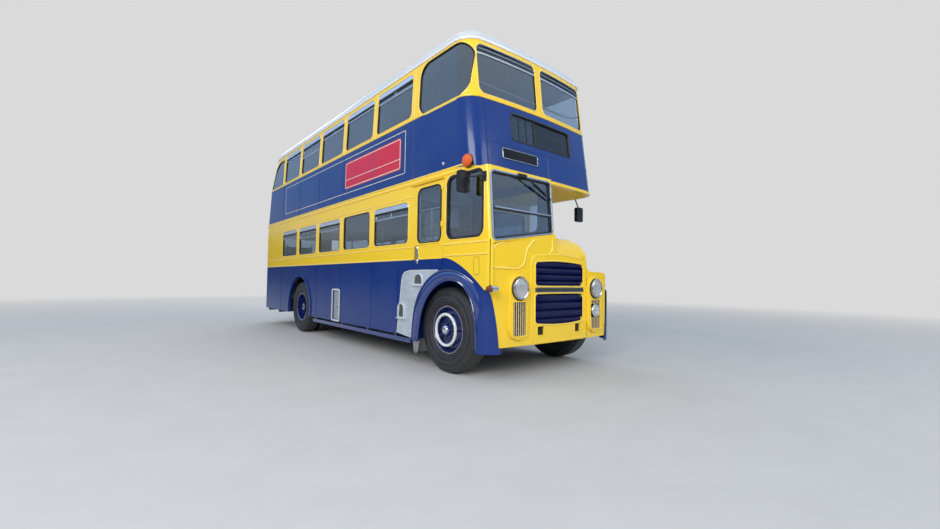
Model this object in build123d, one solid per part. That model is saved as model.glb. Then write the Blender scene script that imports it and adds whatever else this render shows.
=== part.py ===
# Half-cab double decker bus with a front engine and an open rear platform.
#
# Millimetres, +Z up. The origin is on the ground under the middle of the body.
# The front faces -Y and the driver's side (offside) is at -X. Places along the
# bus are written as stations: millimetres behind the front axle.
from build123d import *
import math
import os

# Overall body
LENGTH = 8380
WIDTH = 2440
FRONT_OVERHANG = 835
REAR_OVERHANG = 2541
WHEELBASE = LENGTH - FRONT_OVERHANG - REAR_OVERHANG
ROOF_TOP_Z = 4400
WALL = 50
SKIRT_Z = 380
SEAM = 0.3
HINGE_RADIUS = 8

# Decks
GUTTER_Z = ROOF_TOP_Z - 290
UPPER_SILL_Z = GUTTER_Z - 760
SALOON_FLOOR_Z = 700
FLOOR_THICK = 30
PLATFORM_Z = 420
PLATFORM_THICK = 40
DECK_UNDER_Z = 2430
DECK_Z = 2500

# Window bays of the saloons, as stations of the pillars' middles
BULKHEAD_STATION = 700
BAY_COUNT = 5
PLATFORM_LENGTH = 1295
BAY_PITCH = (LENGTH - FRONT_OVERHANG - PLATFORM_LENGTH - BULKHEAD_STATION) / BAY_COUNT
REAR_BULKHEAD_STATION = BULKHEAD_STATION + BAY_COUNT * BAY_PITCH
BULKHEAD_THICK = 40
PILLAR = 130
LOWER_WINDOW_Z = (1645, 2215)
UPPER_WINDOW_Z = (UPPER_SILL_Z + 50, GUTTER_Z - 80)
WINDOW_RADIUS = 70
GLASS = 6
GLASS_DEPTH = 18

# Cab
CAB_INNER_X = -70
CAB_WALL = 45
CAB_BASE_Z = 1040
CAB_RAKE = 60
CAB_FLOOR_Z = 1080
DOOR_GAP = 5
DOOR_STATIONS = (0, 640)
DOOR_Z = (1280, 2395)
WINDSCREEN = ((-1172, 1590), (-1172, 2368), (-137, 2382), (-137, 1748))
SCREEN_RADII = (75, 34, 40, 60)

# Bonnet and front panel
BONNET_TOP_Z = 1722
SHOULDER_Z = 1290
FRONT_SKIRT_Z = 400
FRONT_THICK = 35
FRONT_BOW = 30
FRONT_DEPTH = 190
FRONT_EDGE_X = -1170
PANEL_BACK = -FRONT_OVERHANG + FRONT_BOW + FRONT_THICK
SILL_Z = (1560, 1722)
GRILLE_X = (-480, 496)
GRILLE_RADIUS = 85
GRILLE_UPPER = ((1084, 1378), 2, 24)
GRILLE_LOWER = ((640, 1000), 28, 4)
SURROUND_X = 545
SURROUND_TOP_Z = 1485
SURROUND_RISE = 10
RELIEF_RISE = 6
POD_RISE = 22
FOG_LAMP = (748, 764)
FOG_RADIUS = 84
SIDE_LAMP = (-1143, -885, 1056)
LOUVRES = 4
LID_EDGE_X = -60
LID_THICK = 16
LID_LOW_Z = 1310
LAMP_X = 762
LAMP_Z = 1056
LAMP_RADIUS = 130
BEACON = (-460, 2527)

# Wheels
WHEEL_RADIUS = 530
TYRE_WIDTH = 270
RIM_RADIUS = 290
GUARD_RADIUS = 190
FRONT_WHEEL_X = 1020
KINGPIN_X = 890
KINGPIN_RADIUS = 20
TRACK_ARM = 150
TRACK_ROD_Z = 372
TRACK_EYE = 42
REAR_WHEEL_X = (750, 1050)
HUB_PLAY = 0.3

# Chassis
RAIL_X = 430
RAIL_WIDTH = 70
SPRING_WIDTH = 76
REAR_SPRING_X = 525
REAR_SPRING_REACH = 760
REAR_SPRING_END_Z = 560
DRIVELINE_X = 210

FRONT_AXLE_Y = FRONT_OVERHANG - LENGTH / 2
REAR_STATION = LENGTH - FRONT_OVERHANG
REAR_AXLE_STATION = WHEELBASE
HALF = WIDTH / 2
INNER = HALF - WALL
OFFSIDE = -1
NEARSIDE = 1

PARTS = {}


def y(station):
    """Row Y of a station behind the front axle."""
    return FRONT_AXLE_Y + station


def block(x_range, stations, z_range):
    """A block between two X, two stations and two heights."""
    size = (x_range[1] - x_range[0], stations[1] - stations[0], z_range[1] - z_range[0])
    middle = (sum(x_range) / 2, y(sum(stations) / 2), sum(z_range) / 2)
    return Pos(*middle) * Box(*size)


def side_prism(points, x_range):
    """A (station, z) outline carried across the bus from one X to another."""
    outline = Polyline(*[(y(s), z) for s, z in points], close=True)
    face = Plane.YZ.offset(x_range[0]) * make_face(outline)
    return extrude(face, amount=x_range[1] - x_range[0])


def front_prism(points, stations):
    """An (x, z) outline carried along the bus from one station to another."""
    plane = Plane(origin=(0, y(stations[0]), 0), x_dir=(1, 0, 0), z_dir=(0, -1, 0))
    face = plane * make_face(Polyline(*points, close=True))
    return extrude(face, amount=-(stations[1] - stations[0]))


def traced(rows):
    """Closed face from (a, b) corners; a row (a, b, via_a, via_b) is reached by an arc."""
    edges = []
    last = rows[-1][:2]
    for row in rows:
        end = row[:2]
        edges.append(ThreePointArc(last, row[2:], end) if len(row) == 4 else Line(last, end))
        last = end
    return make_face(edges)


def placed(rows):
    """The same rows with stations turned into row Y, for a side outline."""
    return [tuple(y(v) if n % 2 == 0 else v for n, v in enumerate(row)) for row in rows]


def side_shape(rows, x_range):
    """A traced (station, z) outline carried across the bus."""
    face = Plane.YZ.offset(x_range[0]) * traced(placed(rows))
    return extrude(face, amount=x_range[1] - x_range[0])


def front_shape(rows, stations):
    """A traced (x, z) outline carried along the bus."""
    plane = Plane(origin=(0, y(stations[0]), 0), x_dir=(1, 0, 0), z_dir=(0, -1, 0))
    return extrude(plane * traced(rows), amount=-(stations[1] - stations[0]))


def plan_shape(rows, z_range):
    """A traced (x, station) outline carried upwards."""
    rows = [tuple(v if n % 2 == 0 else y(v) for n, v in enumerate(row)) for row in rows]
    face = Plane.XY.offset(z_range[0]) * traced(rows)
    return extrude(face, amount=z_range[1] - z_range[0])


def side_window(x_range, stations, z_range, radius):
    """A rounded opening through a side wall."""
    middle = Pos(y(sum(stations) / 2), sum(z_range) / 2)
    shape = RectangleRounded(stations[1] - stations[0], z_range[1] - z_range[0], radius)
    return extrude(Plane.YZ.offset(x_range[0]) * middle * shape, amount=x_range[1] - x_range[0])


def front_window(x_range, stations, z_range, radius):
    """A rounded opening through a front or rear wall."""
    plane = Plane(origin=(0, y(stations[0]), 0), x_dir=(1, 0, 0), z_dir=(0, -1, 0))
    middle = Pos(sum(x_range) / 2, sum(z_range) / 2)
    shape = RectangleRounded(x_range[1] - x_range[0], z_range[1] - z_range[0], radius)
    return extrude(plane * middle * shape, amount=-(stations[1] - stations[0]))


def rod(start, end, radius):
    """A round bar between two (x, station, z) points."""
    a = Vector(start[0], y(start[1]), start[2])
    b = Vector(end[0], y(end[1]), end[2])
    plane = Plane(origin=a, z_dir=b - a)
    return extrude(plane * Circle(radius), amount=(b - a).length)


def across(x, station, z, radius, length):
    """A round bar along X with its middle at a place."""
    return Pos(x, y(station), z) * Rot(0, 90, 0) * Cylinder(radius, length)


def spin_x(profile, x, station):
    """Revolve an (x, radius) profile about a wheel's axis."""
    outline = Polyline(*profile, close=True)
    plane = Plane(origin=(x, y(station), WHEEL_RADIUS), x_dir=(1, 0, 0), z_dir=(0, 1, 0))
    face = plane * make_face(outline)
    return revolve(face, Axis((x, y(station), WHEEL_RADIUS), (1, 0, 0)), 360)


def section(z, half, front, rear, r_front, r_rear, bow, inset):
    """Plan section of the body: rounded corners and a front bowed by a shallow arc."""
    x = half - inset
    y0 = y(front) + inset
    y1 = y(rear) - inset
    rf = max(r_front - inset, 12)
    rr = max(r_rear - inset, 12)
    nose = ThreePointArc((-x + rf, y0 + bow), (0, y0), (x - rf, y0 + bow)) if bow else None
    edges = [
        nose or Line((-x + rf, y0), (x - rf, y0)),
        ThreePointArc((x - rf, y0 + bow), corner(x, y0, rf, bow, 1), (x, y0 + rf + bow)),
        Line((x, y0 + rf + bow), (x, y1 - rr)),
        CenterArc((x - rr, y1 - rr), rr, 0, 90),
        Line((x - rr, y1), (-x + rr, y1)),
        CenterArc((-x + rr, y1 - rr), rr, 90, 90),
        Line((-x, y1 - rr), (-x, y0 + rf + bow)),
        ThreePointArc((-x, y0 + rf + bow), corner(x, y0, rf, bow, -1), (-x + rf, y0 + bow)),
    ]
    return Pos(0, 0, z) * make_face(edges)


def corner(x, y0, radius, bow, side):
    """Middle point of a front corner's arc."""
    reach = radius * math.sin(math.radians(45))
    return (side * (x - radius + reach), y0 + bow + radius - reach)


def body_loft(table, inset, ruled=True):
    """Loft through rows of (z, half, front, rear, r_front, r_rear, bow)."""
    return loft([section(*row, inset) for row in table], ruled=ruled)


def add(name, shape):
    """Keep one node's solids under its name."""
    PARTS[name] = shape


# Plan sections of the upper deck and the roof:
# z, half width, front station, rear station, front radius, rear radius, bow
UPPER_SECTIONS = (
    (DECK_UNDER_Z, HALF, -610, REAR_STATION, 230, 180, 45),
    (UPPER_SILL_Z, HALF - 5, -495, REAR_STATION - 85, 240, 280, 45),
    (GUTTER_Z, HALF - 40, -420, REAR_STATION - 285, 260, 520, 45),
)
ROOF_SECTIONS = (
    (GUTTER_Z, HALF - 30, -432, REAR_STATION - 273, 265, 525, 45),
    (GUTTER_Z + 110, HALF - 75, -375, REAR_STATION - 365, 280, 540, 45),
    (GUTTER_Z + 195, HALF - 190, -240, REAR_STATION - 545, 300, 560, 45),
    (GUTTER_Z + 255, HALF - 420, 60, REAR_STATION - 845, 320, 560, 45),
    (ROOF_TOP_Z, HALF - 800, 560, REAR_STATION - 1335, 300, 400, 45),
)
ROOF_THICK = 40

DISPLAY_X = (-563, 640)
DISPLAY_Z = (UPPER_SILL_Z - 450, UPPER_SILL_Z - 100)
DISPLAY_DEPTH = 25
FRONT_TOP_WINDOWS = ((170 - HALF, -30), (60, HALF - 170))
FRONT_TOP_Z = (UPPER_SILL_Z + 40, GUTTER_Z - 60)
QUARTER_STATIONS = (-370, 590)
QUARTER_Z = (UPPER_SILL_Z - 5, GUTTER_Z - 50)
QUARTER_RADIUS = 190
REAR_QUARTER = (
    (REAR_BULKHEAD_STATION + 65, GUTTER_Z - 110),
    (REAR_BULKHEAD_STATION + 65, UPPER_SILL_Z + 40),
    (REAR_STATION - 335, UPPER_SILL_Z + 40),
    (REAR_STATION - 905, GUTTER_Z - 110, REAR_STATION - 485, GUTTER_Z - 350),
)
EMERGENCY_X = (-450, 450)
EMERGENCY_Z = (2700, GUTTER_Z - 125)
EMERGENCY_WINDOW_X = (-370, 370)
EMERGENCY_WINDOW_Z = (UPPER_SILL_Z + 40, GUTTER_Z - 190)
TAIL_STATIONS = (REAR_STATION - 645, REAR_STATION + 155)


def upper_bays():
    """Stations of each side window of the upper deck."""
    starts = [BULKHEAD_STATION + n * BAY_PITCH for n in range(BAY_COUNT)]
    return [(s + PILLAR / 2, s + BAY_PITCH - PILLAR / 2) for s in starts]


def upper_cutters():
    """Openings of the upper deck, by the wall that they pass through."""
    side = []
    for x_range in ((-HALF - 100, -HALF + 200), (HALF - 200, HALF + 100)):
        for stations in upper_bays():
            side.append(side_window(x_range, stations, UPPER_WINDOW_Z, WINDOW_RADIUS))
        side.append(side_window(x_range, QUARTER_STATIONS, QUARTER_Z, QUARTER_RADIUS))
        quarter = side_shape(REAR_QUARTER, x_range)
        side.append(fillet(quarter.edges().filter_by(Axis.X), 55))
    front = [front_window(x, (-900, -200), FRONT_TOP_Z, 90) for x in FRONT_TOP_WINDOWS]
    return side, front


def emergency_cut(gap):
    """Block of the rear emergency door, wider by a gap."""
    x_range = (EMERGENCY_X[0] - gap, EMERGENCY_X[1] + gap)
    return block(x_range, TAIL_STATIONS, (EMERGENCY_Z[0] - gap, EMERGENCY_Z[1] + gap))


def emergency_hinges():
    """Barrels and leaves that stand on the leaning rear panel above the door."""
    low = UPPER_SECTIONS[1]
    high = UPPER_SECTIONS[2]
    lean = math.atan2(low[3] - high[3], high[0] - low[0])
    z = EMERGENCY_Z[1] + DOOR_GAP / 2
    station = low[3] - (z - low[0]) * math.tan(lean)

    def at(out, down):
        return (
            station + out * math.cos(lean) + down * math.sin(lean),
            z + out * math.sin(lean) - down * math.cos(lean),
        )

    axis = at(HINGE_RADIUS + SEAM, 0)
    leaf = (at(3, 0), at(HINGE_RADIUS, 0), at(4, 50), at(-5, 50), at(-5, 10), at(3, 4))
    shape = None
    for x in (-300, 300):
        barrel = rod((x - 45, axis[0], axis[1]), (x + 45, axis[0], axis[1]), HINGE_RADIUS)
        barrel += side_prism(leaf, (x - 45, x + 45))
        shape = barrel if shape is None else shape + barrel
    return shape


def upper_deck():
    """Walls of the upper deck, split at the first and last pillars."""
    ring = body_loft(UPPER_SECTIONS, 0) - body_loft(UPPER_SECTIONS, WALL)
    side, front = upper_cutters()
    first = BULKHEAD_STATION
    last = REAR_BULKHEAD_STATION
    z_range = (DECK_UNDER_Z - 10, GUTTER_Z + 10)
    everywhere = (-HALF - 200, HALF + 200)
    nose = ring & block(everywhere, (-1000, first), z_range)
    tail = ring & block(everywhere, (last, REAR_STATION + 200), z_range)
    middle = ring & block(everywhere, (first, last), z_range)
    for cutter in side:
        nose -= cutter
        tail -= cutter
        middle -= cutter
    for cutter in front:
        nose -= cutter
    pocket = body_loft(UPPER_SECTIONS, DISPLAY_DEPTH)
    display = front_window(DISPLAY_X, (-900, -200), DISPLAY_Z, 40)
    nose = nose - (display - pocket)
    rear_window = front_window(EMERGENCY_WINDOW_X, TAIL_STATIONS, EMERGENCY_WINDOW_Z, 60)
    door = (tail & emergency_cut(0)) - rear_window + emergency_hinges()
    tail = tail - emergency_cut(DOOR_GAP)
    add("upper_front", nose)
    add("upper_rear", tail)
    add("emergency_door", door)
    add("upper_side_offside", middle & block((-HALF - 200, 0), (first, last), z_range))
    add("upper_side_nearside", middle & block((0, HALF + 200), (first, last), z_range))
    return side, front


def roof():
    """Domed roof shell that seats on the upper walls."""
    outer = body_loft(ROOF_SECTIONS, 0, ruled=False)
    rows = [(row[0] - ROOF_THICK,) + row[1:] for row in ROOF_SECTIONS]
    inner = body_loft(rows, ROOF_THICK, ruled=False)
    add("roof", outer - inner)


def upper_floor():
    """Floor between the decks, with the stairwell cut."""
    floor = body_loft(UPPER_SECTIONS, WALL + SEAM)
    floor &= block((-HALF, HALF), (-1000, REAR_STATION), (DECK_UNDER_Z, DECK_Z))
    floor -= block(STAIR_X, STAIRWELL_STATIONS, (DECK_UNDER_Z - 20, DECK_Z + 20))
    add("upper_floor", floor)


STAIR_X = (10 - INNER, 610 - INNER)
STAIR_LANDING = (REAR_STATION - 695, REAR_STATION - 105)
STAIR_TREAD = 220
STAIR_LOWER_RISERS = 3
STAIR_UPPER_RISERS = 7
STAIR_RISE = (DECK_Z - PLATFORM_Z) / (STAIR_LOWER_RISERS + STAIR_UPPER_RISERS)
STAIR_TOP_STATION = STAIR_LANDING[0] - (STAIR_UPPER_RISERS - 1) * STAIR_TREAD
STAIRWELL_STATIONS = (STAIR_TOP_STATION - 10, STAIR_LANDING[0] + 150)
TREAD_THICK = 30
RISER_THICK = 15


def staircase():
    """Two flights with a quarter landing in the offside rear corner."""
    landing_z = PLATFORM_Z + STAIR_LOWER_RISERS * STAIR_RISE
    landing = (STAIR_LANDING[0] - RISER_THICK, STAIR_LANDING[1])
    shape = block(STAIR_X, landing, (landing_z - TREAD_THICK, landing_z))
    for n in range(1, STAIR_LOWER_RISERS):
        x1 = STAIR_X[1] + (STAIR_LOWER_RISERS - n) * STAIR_TREAD
        top = PLATFORM_Z + n * STAIR_RISE
        tread_x = (x1 - STAIR_TREAD - RISER_THICK, x1)
        shape += block(tread_x, STAIR_LANDING, (top - TREAD_THICK, top))
        shape += block((x1 - RISER_THICK, x1), STAIR_LANDING, (top - STAIR_RISE, top))
    x_face = STAIR_X[1]
    riser_x = (x_face - RISER_THICK, x_face)
    shape += block(riser_x, STAIR_LANDING, (landing_z - STAIR_RISE, landing_z))
    side_panel = (STAIR_LANDING[0], STAIR_LANDING[0] + RISER_THICK)
    shape += block(riser_x, side_panel, (PLATFORM_Z, landing_z))
    for n in range(1, STAIR_UPPER_RISERS):
        s1 = STAIR_LANDING[0] - (n - 1) * STAIR_TREAD
        top = landing_z + n * STAIR_RISE
        tread = (s1 - STAIR_TREAD - RISER_THICK, s1)
        shape += block(STAIR_X, tread, (top - TREAD_THICK, top))
        shape += block(STAIR_X, (s1 - RISER_THICK, s1), (top - STAIR_RISE, top))
    s_low = STAIR_LANDING[0]
    s_high = STAIR_TOP_STATION
    z_high = DECK_Z - STAIR_RISE
    stringer = [
        (s_low + 20, landing_z - 120),
        (s_low + 20, landing_z + STAIR_RISE),
        (s_high, z_high + 60),
        (s_high, z_high - 180),
    ]
    shape += side_prism(stringer, (STAIR_X[1] - 20, STAIR_X[1]))
    shape += side_prism(stringer, (STAIR_X[0], STAIR_X[0] + 20))
    shape += block(STAIR_X, (s_high - RISER_THICK, s_high), (z_high - TREAD_THICK, DECK_UNDER_Z))
    add("staircase", shape & rear_space(WALL + SEAM))


# Lower deck
WHEEL_ARCH_RADIUS = 640
ARCH_LIP = 70
LOWER_CORNER = 170
LOWER_REAR_STATION = REAR_STATION - LOWER_CORNER - 10
PLATFORM_OPEN_X = 560
PLATFORM_HEAD_Z = 2250
PLATFORM_WINDOW_X = (-950, 150)
PLATFORM_WINDOW_Z = (1640, 2200)
FILLER_STATIONS = (2967, 3266)
FILLER_Z = (400, 940)
WHEEL_BOX_Z = 1195
STEP_PANEL_STATION = 1035
STEP_PANEL_Z = 1275


def lower_bays():
    """Stations of each side window of the lower deck."""
    starts = [BULKHEAD_STATION + n * BAY_PITCH for n in range(BAY_COUNT)]
    return [(s + PILLAR / 2 + 20, s + BAY_PITCH - PILLAR / 2) for s in starts]


def lower_sides():
    """Side walls of the lower saloon."""
    z_range = (SKIRT_Z, DECK_UNDER_Z)
    arch = across(0, REAR_AXLE_STATION, WHEEL_RADIUS, WHEEL_ARCH_RADIUS, 4000)
    arch += block((-2000, 2000), (REAR_AXLE_STATION - 640, REAR_AXLE_STATION + 640), (0, WHEEL_RADIUS))
    offside = block((-HALF, -INNER), (BULKHEAD_STATION, LOWER_REAR_STATION), z_range)
    offside -= block((-HALF - 10, -INNER + 10), (600, STEP_PANEL_STATION), (0, STEP_PANEL_Z))
    offside -= block((-HALF - 10, -HALF + 35), FILLER_STATIONS, FILLER_Z)
    nearside = block((INNER, HALF), (BULKHEAD_STATION, REAR_BULKHEAD_STATION), z_range)
    offside -= arch
    nearside -= arch
    for stations in lower_bays():
        offside -= side_window((-HALF - 50, -INNER + 50), stations, LOWER_WINDOW_Z, WINDOW_RADIUS)
        nearside -= side_window((INNER - 50, HALF + 50), stations, LOWER_WINDOW_Z, WINDOW_RADIUS)
    add("lower_side_offside", offside + arch_lip(OFFSIDE))
    add("lower_side_nearside", nearside + arch_lip(NEARSIDE))


def arch_lip(side):
    """Raised moulding round a rear wheel arch."""
    x = side * (HALF + 4)
    lip = across(x, REAR_AXLE_STATION, WHEEL_RADIUS, WHEEL_ARCH_RADIUS + ARCH_LIP, 24)
    lip -= across(x, REAR_AXLE_STATION, WHEEL_RADIUS, WHEEL_ARCH_RADIUS, 40)
    low = (REAR_AXLE_STATION - 900, REAR_AXLE_STATION + 900)
    return lip - block((-2000, 2000), low, (-500, SKIRT_Z))


def rear_space(inset):
    """Upright block of the body's rounded rear, moved in from the skin."""
    face = section(0, HALF, REAR_BULKHEAD_STATION - 250, REAR_STATION, 50, LOWER_CORNER, 0, inset)
    return extrude(face, amount=3000)


def lower_rear():
    """Rear panel of the lower deck with the platform's open corner."""
    behind = REAR_STATION + 200
    high = block((-2000, 2000), (REAR_BULKHEAD_STATION, behind), (SKIRT_Z, DECK_UNDER_Z))
    ring = (rear_space(0) - rear_space(WALL)) & high
    offside = ring & block((-2000, PLATFORM_OPEN_X), (LOWER_REAR_STATION, behind), (0, 3000))
    head_z = (PLATFORM_HEAD_Z, DECK_UNDER_Z)
    head = ring & block((0, 2000), (REAR_BULKHEAD_STATION, behind), head_z)
    shape = offside + head
    shape -= front_window(PLATFORM_WINDOW_X, TAIL_STATIONS, PLATFORM_WINDOW_Z, BULKHEAD_RADIUS)
    add("lower_rear_panel", shape)


def lower_floor():
    """Saloon floor, wheel boxes and the rear platform."""
    z_range = (SALOON_FLOOR_Z - FLOOR_THICK, SALOON_FLOOR_Z)
    inner = INNER - SEAM
    shape = block((-inner, inner), (BULKHEAD_STATION + 1, REAR_BULKHEAD_STATION), z_range)
    axle = REAR_AXLE_STATION
    arch_stations = (axle - 660, axle + 660)
    hump_stations = (axle - 860, axle + 860)
    for side in (OFFSIDE, NEARSIDE):
        wheel_x = sorted((side * 560, side * inner))
        hump_x = sorted((side * 350, side * 580))
        shape += block(wheel_x, arch_stations, (SALOON_FLOOR_Z - FLOOR_THICK, WHEEL_BOX_Z))
        shape += block(hump_x, hump_stations, (SALOON_FLOOR_Z - FLOOR_THICK, 830))
    for side in (OFFSIDE, NEARSIDE):
        wheel_x = sorted((side * 580, side * (inner + 50)))
        hump_x = sorted((side * 370, side * 600))
        shape -= block(wheel_x, (axle - 640, axle + 640), (0, WHEEL_BOX_Z - 20))
        shape -= block(hump_x, (axle - 840, axle + 840), (0, 810))
    platform_z = (PLATFORM_Z - PLATFORM_THICK, PLATFORM_Z)
    stations = (REAR_BULKHEAD_STATION, REAR_STATION + 200)
    platform = rear_space(10) & block((PLATFORM_OPEN_X + 1, 2000), stations, platform_z)
    platform += rear_space(WALL + SEAM) & block((-inner, 2000), stations, platform_z)
    shape += platform
    riser_z = (platform_z[0], SALOON_FLOOR_Z)
    shape += block((-inner, inner), (REAR_BULKHEAD_STATION, REAR_BULKHEAD_STATION + 20), riser_z)
    add("lower_floor", shape)


BULKHEAD_WINDOWS = (((90 - INNER, -160), (1500, 2250)), ((60, INNER - 90), (1750, 2250)))
BULKHEAD_RADIUS = 60
PARTITION_X = (430, INNER - 90)


def bulkheads():
    """Front bulkhead behind the cab and the partition at the platform."""
    inner = INNER - SEAM
    front_stations = (BULKHEAD_STATION, BULKHEAD_STATION + BULKHEAD_THICK)
    front = block((-inner, inner), front_stations, (SALOON_FLOOR_Z, DECK_UNDER_Z))
    for x_range, z_range in BULKHEAD_WINDOWS:
        front -= front_window(x_range, front_stations, z_range, BULKHEAD_RADIUS)
    rear_stations = (REAR_BULKHEAD_STATION + 20, REAR_BULKHEAD_STATION + 20 + BULKHEAD_THICK)
    rear = block((330, inner), rear_stations, (PLATFORM_Z, DECK_UNDER_Z))
    rear -= front_window(PARTITION_X, rear_stations, LOWER_WINDOW_Z, BULKHEAD_RADIUS)
    offside = block((-inner, -330), rear_stations, (PLATFORM_Z, 1400))
    add("bulkheads", Compound(children=[front, rear, offside]))


# Front wing outlines, (station, z): the lip's outer edge and the wheel opening
WING_OUTER = (
    (-FRONT_OVERHANG, 335),
    (631, 335),
    (600, 600),
    (-90, 1262, 330, 1108),
    (-672, 1054, -400, 1208),
    (-FRONT_OVERHANG, 1020),
)
WING_INNER = (
    (-634, 100),
    (505, 100),
    (478, 560),
    (-110, 1142, 300, 942),
    (-634, 700, -520, 1000),
)
WING_X = HALF + 12
WING_INNER_X = 640
WING_SHEET = 12
WING_EDGE = 14


def wing_space(x_range, sink=0):
    """Block inside the wing's outer edge, let down by the sheet's thickness."""
    rows = [tuple(v if n % 2 == 0 else v - sink for n, v in enumerate(r)) for r in WING_OUTER]
    if sink:
        rows = [tuple(v * 0.98 if n % 2 == 0 else v for n, v in enumerate(r)) for r in rows]
    return side_shape([(-FRONT_OVERHANG, 0), (631, 0)] + list(rows[1:]), x_range)


def front_wings():
    """Blue front mudguards: a curved side plate and a crown over the tyre."""
    wings = []
    panel = front_shape(front_rows(-3), (-1000, PANEL_BACK + 3))
    for side in (OFFSIDE, NEARSIDE):
        reach = sorted((side * 500, side * (WING_X + 100)))
        outer = side_shape(WING_OUTER, reach)
        opening = side_shape(WING_INNER, reach)
        row = (WING_X, -FRONT_OVERHANG + 8, 2000, 190, 20, 0)
        plate = extrude(section(200, *row, 0), amount=1200)
        plate -= extrude(section(200, *row, WING_EDGE), amount=1200)
        plate &= block(sorted((side * 1030, side * 1400)), (-900, 640), (335, 1300))
        plate = (plate & outer) - opening - panel
        crown_x = sorted((side * WING_INNER_X, side * (WING_X - 4)))
        crown = wing_space(crown_x) - wing_space((-2000, 2000), WING_SHEET)
        crown &= block((-2000, 2000), (-676, 700), (335, 1300))
        wings.append(plate + crown)
    add("front_wings", Compound(children=wings))


def step_panel():
    """Bare metal panel behind the offside wheel with two toe holes."""
    outline = (
        (85, 1272),
        (720, 1272),
        (850, 1250),
        (905, 1200),
        (925, 1128),
        (1025, 400),
        (640, 360),
        (640, 600),
    )
    plate = side_prism(outline, (-HALF - 4, -HALF + 36))
    plate -= wing_space((-1400, -1000))
    for station, z_low, z_high in ((530, 1075, 1215), (905, 615, 810)):
        middle = (station - 65, station + 65)
        plate -= side_window((-HALF - 30, -HALF + 20), middle, (z_low, z_high), 60)
    add("step_panel", plate)


def lifeguards():
    """Slim rails below the skirt between the axles, on brackets."""
    rails = []
    for side in (OFFSIDE, NEARSIDE):
        x_range = sorted((side * (HALF - 45), side * (HALF - 10)))
        start = 700 if side == OFFSIDE else 760
        end = REAR_AXLE_STATION - 804
        rail = block(x_range, (start, end), (285, 345))
        for station in (1110, 1960, 2890, end - 80):
            bracket = sorted((side * (HALF - 48), side * (HALF - 30)))
            rail += block(bracket, (station - 20, station + 20), (300, SKIRT_Z))
        rails.append(rail)
    add("lifeguard_rails", Compound(children=rails))


# Cab
CAB_SIDE_WINDOW = (-720, -75)
CAB_SIDE_Z = (1640, 2400)
CAB_SIDE_RADIUS = 100
CAB_INNER_WINDOW = (-560, 420)
CAB_INNER_Z = (1790, 2330)
DOOR_WINDOW = (45, 545)
DOOR_WINDOW_Z = (1625, 2345)


def cab_outline(inset):
    """Cab block: upright front with a slight rake, open behind."""
    faces = []
    for z, lean in ((CAB_BASE_Z, 0), (1580, 0), (DECK_UNDER_Z, CAB_RAKE)):
        x0 = -HALF + inset
        x1 = CAB_INNER_X - inset
        y0 = y(-FRONT_OVERHANG + lean) + inset
        y1 = y(BULKHEAD_STATION) + (200 if inset else 0)
        radius = 55 if not inset else 15
        outline = Polyline((x0, y1), (x0, y0), (x1, y0), (x1, y1), close=True)
        face = make_face(outline)
        front = [v for v in face.vertices() if v.Y < y0 + 1]
        faces.append(Pos(0, 0, z) * fillet(front, radius))
    return loft(faces, ruled=True)


def windscreen_cut():
    """Windscreen opening; the lower edge climbs towards the bonnet."""
    shape = make_face(Polyline(*WINDSCREEN, close=True))
    for point, radius in zip(WINDSCREEN, SCREEN_RADII):
        near = shape.vertices().sort_by_distance((point[0], point[1], 0))[0]
        shape = fillet(near, radius)
    plane = Plane(origin=(0, y(-900), 0), x_dir=(1, 0, 0), z_dir=(0, -1, 0))
    return extrude(plane * shape, amount=-250)


def cab_shell():
    """Driver's cab walls, floor and door frame."""
    shell = cab_outline(0) - cab_outline(CAB_WALL)
    shell -= wing_space((-1500, -600))
    low = ((FRONT_EDGE_X, 900), (FRONT_EDGE_X, SILL_Z[0]), (-95, SILL_Z[1]), (0, SILL_Z[1]), (0, 900))
    shell -= front_prism(low, (-900, PANEL_BACK + SEAM))
    shell -= block((-250, 0), (-900, -FRONT_OVERHANG + 110), (900, 1500))
    wall_x = (-HALF - 50, -HALF + CAB_WALL + 20)
    shell -= block(wall_x, DOOR_STATIONS, (STEP_PANEL_Z, DOOR_Z[1] + DOOR_GAP))
    shell -= block(wall_x, (-100, 750), (900, STEP_PANEL_Z))
    shell -= side_window((-1400, -1100), CAB_SIDE_WINDOW, CAB_SIDE_Z, CAB_SIDE_RADIUS)
    shell -= side_window((-200, 0), CAB_INNER_WINDOW, CAB_INNER_Z, WINDOW_RADIUS)
    shell -= windscreen_cut()
    inner_x = (-WING_INNER_X + 5, CAB_INNER_X - CAB_WALL)
    stations = (-FRONT_OVERHANG + 100, BULKHEAD_STATION)
    floor = block(inner_x, stations, (CAB_FLOOR_Z - 25, CAB_FLOOR_Z))
    add("cab_shell", shell + floor)


def cab_door():
    """Driver's door, hinged at its front edge."""
    gap = DOOR_GAP
    stations = (DOOR_STATIONS[0] + gap, DOOR_STATIONS[1] - gap)
    z_range = (DOOR_Z[0], DOOR_Z[1])
    shape = block((-HALF, -HALF + CAB_WALL), stations, z_range)
    shape -= side_window((-1400, -1000), DOOR_WINDOW, DOOR_WINDOW_Z, 90)
    for z in (1390, 1560):
        shape += block((-HALF - 32, -HALF), (543, 557), (z, z + 12))
    shape += rod((-HALF - 32, 550, 1380), (-HALF - 32, 550, 1580), 10)
    hinge_x = -HALF - HINGE_RADIUS - SEAM
    for z in (1360, 1840, 2310):
        shape += Pos(hinge_x, y(DOOR_STATIONS[0]), z) * Cylinder(HINGE_RADIUS, 70)
        shape += block((hinge_x, -HALF), (DOOR_STATIONS[0] + DOOR_GAP, 40), (z - 35, z + 35))
        shape += block((hinge_x, -HALF - 2), (DOOR_STATIONS[0], 40), (z - 35, z + 35))
    add("cab_door", shape)


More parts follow.
